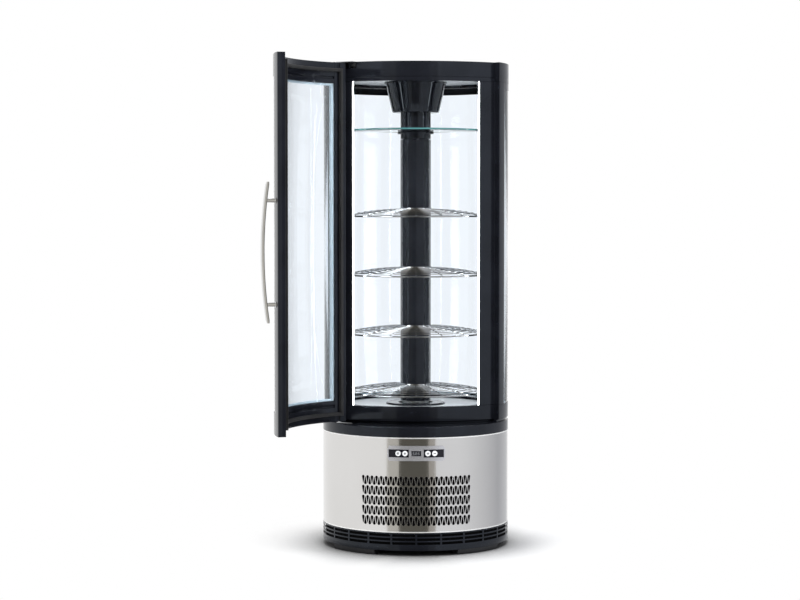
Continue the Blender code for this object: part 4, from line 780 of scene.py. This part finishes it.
hinge_side = [on_bow(DOOR_R, deg) for deg in spread(-STILE_DEG, -ROUND_FROM_DEG, 0.8)] + round_end
hinge_side += [on_bow(radius, -deg) for radius, deg in inner_face[1:]]
free_side = [on_bow(DOOR_R, deg) for deg in spread(STILE_DEG, DOOR_FREE_DEG)]
free_side += [on_bow(radius, deg) for radius, deg in inner_face]
for name, outline in (("hinge_stile", hinge_side), ("handle_stile", free_side)):
    shape = standing(rounded(outline, EDGE_ROUND), DOOR_LOW, DOOR_TOP)
    piece(name, shape, "door_" + name, body="door")
RAIL_DEG = STILE_DEG - degrees(PANE_EDGE / DOOR_R)
for name, outer_z, way in (("bottom", DOOR_LOW, 1), ("top", DOOR_TOP, -1)):
    inner_z = outer_z + way * RAIL_H
    bead = inner_z - way * BEAD_W
    groove = bead - way * GROOVE_W
    section = stepped((DOOR_R, DOOR_IN_R, FLOOR_R, DOOR_IN_R), (outer_z, inner_z, bead, groove))
    piece("door_rail_" + name, arc(rounded(section, EDGE_ROUND), -RAIL_DEG, RAIL_DEG, BOW),
          "door_%s_rail" % name, body="door")
double_glass("door_glass", DOOR_PANE_R, DOOR_PANE_IN_R, -RAIL_DEG, RAIL_DEG, DOOR_LOW + RAIL_H + GAP,
             DOOR_TOP - RAIL_H - GAP, BOW, "door")

# %% Gasket
gasket_low, gasket_high = heights("door_gasket")
GASKET_W = 0.013
GASKET_OUT, GASKET_IN = DOOR_IN_R - GAP, 0.4615
GASKET_DEGS = (-33.9, 35.9)
GASKET_SIDE = ((0, 1), (0.18, 1), (0.3, 0.62), (0.52, 0.6), (0.66, 0.86), (0.86, 0.88), (1, 0.6))
wide = degrees(GASKET_W / DOOR_IN_R)


def lip(low, high):
    """A magnetic gasket's section: a foot on the door, a pinched waist and a round head."""
    middle, half = (low + high) / 2, (high - low) / 2
    both = [*GASKET_SIDE, *((down, -across) for down, across in reversed(GASKET_SIDE))]
    return [(GASKET_OUT - (GASKET_OUT - GASKET_IN) * down, middle + half * across) for down, across in both]


strips = []
for deg in (GASKET_DEGS[0] + wide / 2, GASKET_DEGS[1] - wide / 2):
    outline = [on_bow(radius, deg) + sideways(deg) * across for radius, across in lip(-GASKET_W / 2, GASKET_W / 2)]
    strips.append(standing(outline, gasket_low, gasket_high))
for low, high in ((gasket_low, gasket_low + GASKET_W), (gasket_high - GASKET_W, gasket_high)):
    strips.append(arc(lip(low, high), GASKET_DEGS[0] + wide / 2, GASKET_DEGS[1] - wide / 2, BOW))
piece("door_seal", merged(*strips), "door_gasket", RUBBER, "door", weld=False)

# %% [markdown]
# The handle is a flat bar of stainless steel, bowed outwards like an archer's bow and held by two round
# standoffs. Its section is carried up a parabola, so that both faces follow one clean curve.

# %% Handle
HANDLE_DEG, HANDLE_L, HANDLE_W, HANDLE_T = 34.0, 0.472, 0.021, 0.011
HANDLE_STAND, HANDLE_BOW, HANDLE_STEPS = 0.022, 0.018, 48
END_ROUND, END_SHARE = 0.004, 0.72
STANDOFF_Z = 0.17375
HANDLE_Z = sum(heights("door_handle")) / 2
out, side = direction(HANDLE_DEG), sideways(HANDLE_DEG)


def stand(height):
    return HANDLE_STAND + HANDLE_BOW * (1 - (2 * height / HANDLE_L) ** 2)


bar = []
section = box_section(-HANDLE_T / 2, HANDLE_T / 2, -HANDLE_W / 2, HANDLE_W / 2, 0.0032, 4)
for k in range(HANDLE_STEPS + 1):
    height = HANDLE_L * (k / HANDLE_STEPS - 0.5)
    near_end = min(1.0, (HANDLE_L / 2 - abs(height)) / END_ROUND)
    shrink = END_SHARE + (1 - END_SHARE) * sqrt(max(0.0, 1 - (1 - near_end) ** 2))
    middle = DOOR_R + stand(height) + HANDLE_T / 2
    bar.append([BOW + out * (middle + x * shrink) + side * y * shrink + UP * (HANDLE_Z + height)
                for x, y in section])
posts = [plug([(radius, DOOR_R + reach) for radius, reach in (
    (0.01, GAP), (0.01, 0.0025), (0.0093, 0.0032), (0.007, 0.0034), (0.007, stand(height) + 0.003))],
    HANDLE_DEG, HANDLE_Z + height, BOW) for height in (-STANDOFF_Z, STANDOFF_Z)]
piece("bowed_handle", merged(loft(bar), *posts), "door_handle", HANDLE_STEEL, "door", weld=False)

# %% Hinge plates
TONGUE_DEGS, TONGUE_IN, TONGUE_OUT = (-35.2, -27.6), 0.4606, 0.4945
TONGUE_T, TONGUE_DROP, LOWER_T = 0.0035, 0.0225, 0.004
PIN_R, PIN_FOOT_R = 0.004, 0.006
low, high = heights("upper_hinge")
tongue = rounded(stepped((TONGUE_OUT, TONGUE_IN + 0.002, TONGUE_IN), (high, high - TONGUE_T, high - TONGUE_DROP)),
                 0.0008, 2)
pin_section = box_section(CORE, PIN_R, low, high - 0.002, 0)
piece("upper_hinge_plate", merged(arc(tongue, *TONGUE_DEGS, BOW), turned(pin_section, 24, pin)),
      "upper_hinge", CHROME)
low, high = heights("lower_hinge")
plate = box_section(TONGUE_IN, TONGUE_OUT, low, low + LOWER_T, 0.001)
pin_section = stepped((PIN_FOOT_R, PIN_R, CORE), (low + LOWER_T - 0.001, DOOR_LOW - GAP, high))
piece("lower_hinge_plate", merged(arc(plate, *TONGUE_DEGS, BOW), turned(pin_section, 24, pin)),
      "lower_hinge", CHROME)
print("door pieces done:", len(made_names))

# %% [markdown]
# The base is a stack: feet, a black plinth with louvres all round, the steel skirt, and a black cap that
# overhangs it by a hair. The cap, like every plain round piece from here on, is one section carried all
# the way round. Its rounded upper edge gives the white line above the steel.

# %% Cap, base plate and feet
CAP_LOW, CAP_TOP = heights("base_cap")
CAP_WALL, CAP_HOLE = 0.004, 0.016
cap = rounded(stepped((BODY_R, BODY_R - CAP_WALL, CAP_HOLE), (CAP_TOP, CAP_LOW, CAP_TOP - CAP_WALL)),
              [0.004, 0.0014, 0.0005, 0.0005, 0, 0], 4)
piece("cap_shell", turned(cap, FINE), "base_cap")

PLATE_R, FOOT_H = 0.3346, 0.018
FOOT_DEGS = ((26, 61), (119, 154), (-61, -26), (-154, -119))
plate_top = heights("base_plate")[1]
plate = turned(box_section(CORE, PLATE_R, FOOT_H + GAP, plate_top, 0), 120)
foot = rounded([(BODY_R, FOOT_H), (BODY_R - 0.0035, 0.0001), (0.3015, 0.0001), (0.3, FOOT_H + 0.001),
                (0.333, FOOT_H + 0.001), (0.333, FOOT_H)], [0.0008, 0.003, 0.003, 0, 0, 0])
feet = [arc(foot, *degs) for degs in FOOT_DEGS]
piece("plate_and_feet", merged(plate, *feet), "base_plate", MATTE_BLACK, weld=False)

# %% [markdown]
# The plinth's louvres are four plain hoops and a ring of short ribs behind them. The hoops are lofts and
# the ribs are the array's first job: one rib, turned 24 times.

# %% Plinth
PLINTH_LOW, PLINTH_TOP = heights("plinth")
PLINTH_WALL = 0.004
LOUVRE_LOW, LOUVRE_OPEN, LOUVRE_BAR, LOUVRE_LEAN = PLINTH_LOW + 0.0217, 0.009, 0.005, 0.0012
# Painted shade: a near-black sheet behind the louvres stands in for the shade inside the plinth.
PLINTH_SHADE_R, PLINTH_SHADE_T = 0.33, 0.0015
RIB_HALF, RIB_OUT, RIB_IN, RIB_COUNT = 0.0036, -BODY_R + 0.0006, -BODY_R + 0.0035, 24
hoops = []
low = PLINTH_LOW
for number in range(4):
    high = LOUVRE_LOW + number * (LOUVRE_OPEN + LOUVRE_BAR) if number < 3 else PLINTH_TOP
    lean = 0.0 if number in (0, 3) else LOUVRE_LEAN
    hoops.append(turned(rounded([(BODY_R, low), (BODY_R - lean, high), (BODY_R - PLINTH_WALL - lean, high),
                                 (BODY_R - PLINTH_WALL, low)], 0.0009, 2), FINE))
    low = high + LOUVRE_OPEN
piece("plinth_hoops", merged(*hoops), "plinth", weld=False)
# This sheet is painted shade, not a part of the case: it makes the louvre gaps dark.
plinth_shade = turned(box_section(PLINTH_SHADE_R, PLINTH_SHADE_R + PLINTH_SHADE_T, PLINTH_LOW + 0.004, PLINTH_TOP - 0.001, 0.0004), 120)
piece("plinth_shade_sheet", plinth_shade, "", SHADOW_BLACK)
rib = standing(rounded(oblong((-RIB_HALF, RIB_OUT), (RIB_HALF, RIB_IN)), 0.0006, 2), LOUVRE_LOW - 0.001,
               PLINTH_TOP - 0.004)
dress("plinth_ribs", copies_of(rib, GLOSS_BLACK, Columns=RIB_COUNT, Start=AXIS,
                               Turn=radians(360 / RIB_COUNT)))
print("base pieces done:", len(made_names))

# %% [markdown]
# The steel skirt is one rolled sheet. Its grille is pressed: rows of drops, one row point down and the
# next point up between them. The array lays out the punches, a boolean cuts them through the sheet, and
# a second array adds the rolled lip that each punch leaves. A texture with alpha would be lighter, but
# it would leave no edge to catch the light.

# %% Skirt with its punched grille
SKIRT_LOW, SKIRT_TOP = heights("skirt")
SKIRT_R, SKIRT_T = 0.3395, 0.0012
PUNCH_OUT, PUNCH_IN = SKIRT_R + 0.004, SKIRT_R - 0.006
LIP = [(grow, SKIRT_R + rise) for grow, rise in (
    (1.00, -0.001), (1.00, 0.0001), (1.04, 0.0004), (1.08, 0.0001), (1.07, -0.001))]
DROP_PITCH_DEG, DROP_COLUMNS, DROP_ROWS, DROP_ROW_H = 3.05, 23, 5, 0.0355
DROP_L, DROP_W, DROP_MARGIN = 0.0272, 0.0102, 0.0016
DROP_STEPS, DROP_MID, TIP_HALF, TIP_H = 9, -DROP_L * 0.35, 0.0009, 0.0004
GRILLE_LOW = 0.106
SERVICE_LOW, SERVICE_TOP, SERVICE_DEG = 0.353, 0.376, 13.7
HEM_HALF, HEM_OUT, HEM_IN, HEM_EDGE = 0.0019, 0.0005, 0.0008, 0.0021
# Painted shade: a near-black sheet behind the grille stands in for the shade inside the base.
GRILLE_SHADE_R, GRILLE_SHADE_T, GRILLE_SHADE_LOW, GRILLE_SHADE_TOP, GRILLE_SHADE_DEG = 0.3285, 0.0015, 0.098, 0.292, 38
PANEL_Z = sum(heights("control_bezel")) / 2
radius = DROP_W / 2
DROP = [(radius * cos(turn), -radius + radius * sin(turn))
        for turn in [radians(-12 + 204 * k / DROP_STEPS) for k in range(DROP_STEPS + 1)]]
DROP += [(-TIP_HALF, -DROP_L + TIP_H), (0.0, -DROP_L), (TIP_HALF, -DROP_L + TIP_H)]


def drop(steps, up, wraps):
    """One drop's outline carried through the sheet, grown by so much at each radius."""
    return loft([[Vector((x * grow, -radius, up * (DROP_MID + (z - DROP_MID) * (1 + (grow - 1) * 0.5))))
                  for x, z in DROP] for grow, radius in steps], wraps)


def drops(steps, wraps=False):
    """Both sets of the drops: heads up on whole places, heads down between them."""
    first = -(DROP_COLUMNS - 1) / 2 * DROP_PITCH_DEG
    whole = bmesh.new()
    for up, count, deg, z in ((1, DROP_COLUMNS, first, DROP_ROW_H - DROP_MARGIN),
                              (-1, DROP_COLUMNS - 1, first + DROP_PITCH_DEG / 2, DROP_MARGIN)):
        whole.from_mesh(copies_of(drop(steps, up, wraps), CHROME, Columns=count, Rows=DROP_ROWS,
                                  Row_Shift=UP * DROP_ROW_H, Start=AXIS + UP * (GRILLE_LOW + z),
                                  First_Turn=radians(deg), Turn=radians(DROP_PITCH_DEG)))
    return whole


def cut(bm, cutter, name):
    """The shape with everything inside the cutter taken away."""
    for shape in (bm, cutter):
        bmesh.ops.recalc_face_normals(shape, faces=shape.faces)
    body, tool = new_object("sheet", mesh_of("sheet", bm)), new_object("cutter", mesh_of("cutter", cutter))
    modifier = body.modifiers.new("cut", "BOOLEAN")
    modifier.operation, modifier.solver, modifier.use_self, modifier.object = "DIFFERENCE", "EXACT", True, tool
    made = bmesh.new()
    made.from_mesh(result_of(body))
    for obj in (body, tool):
        bpy.data.objects.remove(obj)
    for face in made.faces:
        face.material_index = 0
    print(name, "cut:", len(made.faces), "faces")
    return made


sheet = turned(box_section(SKIRT_R - SKIRT_T, SKIRT_R, SKIRT_LOW, SKIRT_TOP, 0), FINE)
service = arc(box_section(PUNCH_IN, PUNCH_OUT, SERVICE_LOW, SERVICE_TOP, 0), -SERVICE_DEG, SERVICE_DEG)
sheet = cut(sheet, merged(drops([(1, PUNCH_OUT), (1, PUNCH_IN)]), service), "skirt")
hems = [turned(box_section(SKIRT_R - HEM_IN, SKIRT_R + HEM_OUT, z - HEM_HALF, z + HEM_HALF, 0.0006, 3), FINE)
        for z in (SKIRT_LOW + HEM_EDGE, SKIRT_TOP - HEM_EDGE)]
piece("skirt_hems", merged(*hems), "", HEM_STEEL, sharp=60, weld=False)
piece("steel_skirt", sheet, "skirt", STAINLESS, sharp=28)
piece("grille_lips", drops(LIP, True), "", CHROME, sharp=60, weld=False)
# This sheet is painted shade, not a part of the case: it makes the drop openings dark.
grille_shade = box_section(GRILLE_SHADE_R, GRILLE_SHADE_R + GRILLE_SHADE_T, GRILLE_SHADE_LOW, GRILLE_SHADE_TOP, 0.0004)
piece("grille_shade_sheet", arc(grille_shade, -GRILLE_SHADE_DEG, GRILLE_SHADE_DEG), "", SHADOW_BLACK)

# %% [markdown]
# The control panel is a silver bezel with chamfered ends round three dark windows. A sheet with square
# openings is easiest as a grid of cells: each cell is kept or left out, and a wall is raised wherever a
# kept cell has no neighbour. A thin bead round each window makes its raised border.

# %% Bezel
BEZEL_R, BEZEL_T, BEZEL_DEG = 0.3428, 0.0013, 17.4
BEZEL_HALF = heights("control_bezel")[1] - PANEL_Z + 0.001
WINDOW_DEGS, WINDOW_HALF = (4.3, 16.6), 0.0145
DISPLAY_DEG, DISPLAY_HALF = 2.95, 0.0095
CHAMFER_DEG, CHAMFER_H = 1.2, 0.011
BEAD_R, BEAD_RISE = 0.0006, 0.0001
ROW_LIMIT = 0.02


def in_window(deg, up):
    if abs(deg) < DISPLAY_DEG:
        return abs(up) < DISPLAY_HALF
    return WINDOW_DEGS[0] < abs(deg) < WINDOW_DEGS[1] and abs(up) < WINDOW_HALF


def bezel_point(deg, up, radius):
    """A place on the bezel. An up of 1 or -1 is its edge, which the chamfers lower at both ends."""
    if abs(up) == 1:
        up *= BEZEL_HALF - max(0.0, abs(deg) - (BEZEL_DEG - CHAMFER_DEG)) / CHAMFER_DEG * CHAMFER_H
    return place(radius, deg, PANEL_Z + up)


def border(from_deg, to_deg, half):
    points = [(deg, half) for deg in spread(from_deg, to_deg, 0.5)]
    points += [(deg, -half) for deg in spread(to_deg, from_deg, 0.5)]
    path = [place(BEZEL_R + BEAD_RISE, deg, PANEL_Z + up) for deg, up in points]
    return tube(path, BEAD_R, 6, True, direction((from_deg + to_deg) / 2))


half_degs = [0]
for start, end, step in ((0, DISPLAY_DEG, 0.5), (DISPLAY_DEG, WINDOW_DEGS[0], 0.5), (*WINDOW_DEGS, 0.5),
                         (WINDOW_DEGS[1], BEZEL_DEG, 0.2)):
    half_degs += spread(start, end, step)[1:]
degs = [-deg for deg in reversed(half_degs)] + half_degs[1:]
ups = [-1.0, -WINDOW_HALF, -DISPLAY_HALF, DISPLAY_HALF, WINDOW_HALF, 1.0]
bm = bmesh.new()
front, back = ([[bm.verts.new(bezel_point(deg, up, radius)) for up in ups] for deg in degs]
               for radius in (BEZEL_R, BEZEL_R - BEZEL_T))
kept = {(i, j) for i in range(len(degs) - 1) for j in range(len(ups) - 1)
        if not in_window((degs[i] + degs[i + 1]) / 2, (max(-ROW_LIMIT, ups[j]) + min(ROW_LIMIT, ups[j + 1])) / 2)}
for i, j in kept:
    bm.faces.new((front[i][j], front[i + 1][j], front[i + 1][j + 1], front[i][j + 1]))
    bm.faces.new((back[i][j], back[i][j + 1], back[i + 1][j + 1], back[i + 1][j]))
    for (di, dj), (a, b) in (((-1, 0), ((i, j + 1), (i, j))), ((1, 0), ((i + 1, j), (i + 1, j + 1))),
                             ((0, -1), ((i, j), (i + 1, j))), ((0, 1), ((i + 1, j + 1), (i, j + 1)))):
        if (i + di, j + dj) not in kept:
            bm.faces.new((front[a[0]][a[1]], back[a[0]][a[1]], back[b[0]][b[1]], front[b[0]][b[1]]))
beads = [border(-DISPLAY_DEG, DISPLAY_DEG, DISPLAY_HALF), border(*WINDOW_DEGS, WINDOW_HALF),
         border(-WINDOW_DEGS[1], -WINDOW_DEGS[0], WINDOW_HALF)]
piece("panel_bezel", merged(bm, *beads), "control_bezel", SILVER, weld=False)

# %% Dark screen, digits and buttons
BUTTONS = {"1": -10.8, "2": -6.7, "3": 6.9, "4": 10.95}
BUTTON_R = 0.0095
SCREEN_R, SCREEN_T, SCREEN_DEG = 0.3398, 0.0014, 16.9
CUT_REACHES = (0.336, 0.345)
screen = arc(box_section(SCREEN_R, SCREEN_R + SCREEN_T, *heights("control_fascia"), 0.0004), -SCREEN_DEG,
             SCREEN_DEG, step=0.5)
holes = [plug([(BUTTON_R + GAP, reach) for reach in CUT_REACHES], deg, PANEL_Z) for deg in BUTTONS.values()]
piece("dark_screen", cut(screen, merged(*holes), "screen"), "control_fascia", SCREEN)

# Each segment is (across, up, upright). An eight shows all of them, and a six all but the last.
SEGMENTS = ((0, 1, 0), (0, 0, 0), (0, -1, 0), (-1, 0.5, 1), (-1, -0.5, 1), (1, -0.5, 1), (1, 0.5, 1))
DIGIT_W, DIGIT_H, DIGIT_LINE, DIGIT_PITCH = 0.0042, 0.0048, 0.0004, 0.0092
DIGIT_IN, DIGIT_OUT = 0.34115, 0.3414
digits = []


def on_panel(deg, right, up, low, high, wide, tall):
    """A thin raised bar on the panel: its middle is right and up of deg, in metres."""
    here = deg + degrees(right / BEZEL_R)
    half = degrees(wide / BEZEL_R)
    section = box_section(low, high, PANEL_Z + up - tall, PANEL_Z + up + tall, 0.0001, 1)
    return arc(section, here - half, here + half, step=0.5)


for middle, shown in ((-DIGIT_PITCH, 6), (0, 7), (DIGIT_PITCH, 6)):
    for across, up, upright in SEGMENTS[:shown]:
        size = (DIGIT_LINE, DIGIT_H / 2 - DIGIT_LINE) if upright else (DIGIT_W / 2, DIGIT_LINE)
        right = middle + across * (DIGIT_W + DIGIT_LINE) / 2
        digits.append(on_panel(0, right, up * DIGIT_H, DIGIT_IN, DIGIT_OUT, *size))
piece("screen_digits", merged(*digits), "", DIGIT, weld=False)

ICONS = {"1": ((0, 0, 0.0042, 0.0008), (0, 0.0026, 0.0026, 0.0007), (0, -0.0026, 0.0026, 0.0007)),
         "2": ((0, 0, 0.0008, 0.0042), (-0.0026, 0, 0.0007, 0.0026), (0.0026, 0, 0.0007, 0.0026)),
         "3": ((0, 0, 0.0042, 0.0011), (0, 0, 0.0011, 0.0042)),
         "4": ((0, 0, 0.0042, 0.0011),)}
FACE_R = BEZEL_R + 0.0019
FLANGE_FRONT, FLANGE_BACK, STEM_END = 0.3383, 0.337, 0.3222
FLANGE_R, STEM_R = BUTTON_R + 0.001, 0.003
button = [(0.0002, FACE_R - 0.0006), (0.006, FACE_R - 0.0004), (0.008, FACE_R),
          (BUTTON_R - 0.0004, FACE_R - 0.0002), (BUTTON_R, FACE_R - 0.0008), (BUTTON_R, FLANGE_FRONT),
          (FLANGE_R, FLANGE_FRONT), (FLANGE_R, FLANGE_BACK), (STEM_R, FLANGE_BACK), (STEM_R, STEM_END),
          (0.0002, STEM_END)]
for number, deg in BUTTONS.items():
    body = "button_cap_" + number
    piece("button_face_" + number, plug(button, deg, PANEL_Z, sides=30), "button_" + number, BUTTON, body)
    marks = [on_panel(deg, right, up, FACE_R - 0.0009, FACE_R + 0.0001, wide, tall)
             for right, up, wide, tall in ICONS[number]]
    piece("button_mark_" + number, merged(*marks), "", MARK, body, weld=False)
print("panel pieces done:", len(made_names))

# %% [markdown]
# Under the ceiling a black cone hides the cooling fan. A sleeve hangs from it, a glass shelf rests on
# the sleeve's collar, and below the sleeve the fluted column turns with its wire shelves.

# %% Cone, sleeve, glass shelf and column
CONE_RIM_R, CONE_R, CONE_FOOT_R, CONE_HOLE_R = 0.1145, 0.11, 0.085, 0.0575
low, top = heights("ceiling_housing")
cone = rounded([(CONE_RIM_R, top), (CONE_RIM_R, top - 0.005), (CONE_R, top - 0.005), (CONE_FOOT_R, low),
                (CONE_HOLE_R, low), (CONE_HOLE_R, low + 0.0025), (CONE_FOOT_R - 0.0025, low + 0.0025),
                (CONE_R - 0.0025, top - 0.002), (CONE_R - 0.0025, top)],
               [0, 0.0015, 0.001, 0.006, 0.0006, 0.0006, 0.004, 0, 0], 4)
piece("cooling_cone", turned(cone), "ceiling_housing")

SLEEVE_R, SLEEVE_IN_R, SLEEVE_RIM_R, COLLAR_R, COLLAR_H = 0.0555, 0.0525, 0.068, 0.066, 0.009
FLOOR_HOLE_R, FLOOR_LOW, FLOOR_HIGH = 0.0205, 0.0075, 0.0105
low, top = heights("fixed_sleeve")
SHELF_LOW, SHELF_HIGH = heights("glass_shelf")
collar = SHELF_LOW - GAP
walls = (SLEEVE_RIM_R, SLEEVE_R, COLLAR_R, SLEEVE_R, SLEEVE_IN_R, FLOOR_HOLE_R, SLEEVE_IN_R)
levels = (top, top - 0.003, collar, collar - COLLAR_H, low, low + FLOOR_LOW, low + FLOOR_HIGH)
piece("sleeve_tube", turned(rounded(stepped(walls, levels), 0.0009), 120), "fixed_sleeve")
DISC_IN_R, DISC_R, RIM_R, RIM_OUT_R = 0.0558, 0.2458, 0.24585, 0.247
piece("shelf_disc", turned(box_section(DISC_IN_R, DISC_R, SHELF_LOW, SHELF_HIGH, 0.0004)), "glass_shelf",
      SHELF_GLASS)
piece("shelf_edge", turned(box_section(RIM_R, RIM_OUT_R, SHELF_LOW + 0.0002, SHELF_HIGH - 0.0002, 0.0005)), "",
      GLASS_EDGE)

COLUMN_R, COLUMN_IN_R, FLUTES, FLUTE_DEPTH, FLUTE_POWER = 0.0555, 0.04, 12, 0.0022, 0.7
low, top = heights("column_tube")
rings = []
for deg in [360 * k / FINE for k in range(FINE)]:
    wave = 0.5 + 0.5 * cos(radians(deg * FLUTES))
    radius = COLUMN_R - FLUTE_DEPTH * (1 - wave) ** FLUTE_POWER
    rings.append([place(r, deg, z) for r, z in ((radius, low), (radius, top), (COLUMN_IN_R, top),
                                                (COLUMN_IN_R, low))])
piece("fluted_column", loft(rings, True), "column_tube", body="carousel", sharp=40)
FLANGE_TOP_R, FLANGE_FOOT_R, FLANGE_HOLE_R = 0.105, 0.109, 0.062
low, top = heights("column_base_flange")
flange = rounded([(FLANGE_TOP_R, top), (FLANGE_FOOT_R, top - 0.004), (FLANGE_FOOT_R, low),
                  (FLANGE_HOLE_R, low), (FLANGE_HOLE_R, top)], 0.0012)
piece("column_foot", turned(flange, 120), "column_base_flange")
print("column pieces done:", len(made_names))

# %% [markdown]
# Each shelf is welded from chromed wire: a stout rim, a set of rings a little higher, and radial wires
# that run from the hub and turn down to the rim. The radials are one bent wire turned by the array.

# %% Wire shelves
RINGS = (0.0755, 0.1, 0.1222, 0.1444, 0.1665, 0.1885, 0.2105, 0.2325)
RADIALS, RING_STEPS = 16, 120
HUB_IN_R, HUB_R, OUTER_RING_R, SHELF_R = 0.0562, 0.06, 0.2325, 0.247
RIM_WIRE, RING_WIRE, RADIAL_WIRE, RADIAL_DROP = 0.003, 0.0015, 0.0014, 0.0024
RING_RISE, DOME_RISE = 0.0085, 0.0182


def dome(radius):
    """How high the rings lie over the rim: a shallow dome, steepest at its edge."""
    return RING_RISE + DOME_RISE * (1 - ((radius - HUB_R) / (OUTER_RING_R - HUB_R)) ** 2)


def hoop(radius, z, wire, sides):
    return tube([place(radius, 360 * k / RING_STEPS, z) for k in range(RING_STEPS)], wire, sides, True)


for number in "1234":
    rim_z = heights("wire_shelf_" + number)[0] + RIM_WIRE
    hoops = [hoop(radius, rim_z + dome(radius), RING_WIRE, 6) for radius in RINGS]
    hub_z = rim_z + dome(HUB_R)
    hub = turned(box_section(HUB_IN_R, HUB_R, hub_z - 0.006, hub_z + 0.004, 0.0006), 96)
    piece("shelf_rings_" + number, merged(*hoops, hoop(SHELF_R, rim_z, RIM_WIRE, 10), hub),
          "wire_shelf_" + number, CHROME, "carousel", sharp=60, weld=False)
    path = [(radius, dome(radius) - RADIAL_DROP) for radius in spread(HUB_R - 0.001, OUTER_RING_R, 0.02)]
    path += [(0.24, 0.0045), (0.2445, 0.0025), (SHELF_R, 0)]
    wire = tube([Vector((0, -radius, rim_z + z)) for radius, z in path], RADIAL_WIRE, 6)
    radials = copies_of(wire, CHROME, Columns=RADIALS, Start=AXIS, Turn=radians(360 / RADIALS))
    dress("shelf_radials_" + number, radials, "", CHROME, "carousel", sharp=60)
print("shelves done:", len(made_names))

# %% [markdown]
# Behind the grille the condenser is a stack of thin fins. They are one plate, shifted 58 times.

# %% Condenser fins
FINS, FIN_HALF, FIN_EDGE, FIN_SIDE = 58, 0.0003, 0.006, 0.008
low, high = span("condenser_coil")
fin_pitch = (high.x - low.x - 2 * FIN_SIDE) / (FINS - 1)
fin = standing(oblong((-FIN_HALF, low.y + FIN_EDGE), (FIN_HALF, high.y - FIN_EDGE)), low.z + FIN_EDGE,
               high.z - FIN_EDGE)
dress("coil_fins", copies_of(fin, ALUMINIUM, Columns=FINS, Start=Vector((low.x + FIN_SIDE, 0, 0)),
                             Column_Shift=Vector((fin_pitch, 0, 0))), "", ALUMINIUM)
print("fins:", FINS, "at", round(fin_pitch * 1000, 2), "mm")

# %% [markdown]
# Every solid that stays as it is gets its slot's finish too, the machinery inside the base included.

# %% Finishes of the solids that stay
stay = 0
for entry in frame["record"]["subparts"]:
    node = nodes[entry["node"]]
    if not node.material_slots:
        node.data.materials.append(None)
    for holder in node.material_slots:
        holder.material = BY_SLOT[entry["material_slot"]]
    stay += not node.hide_render
print("solids that stay:", stay, "pieces made:", len(made_names))
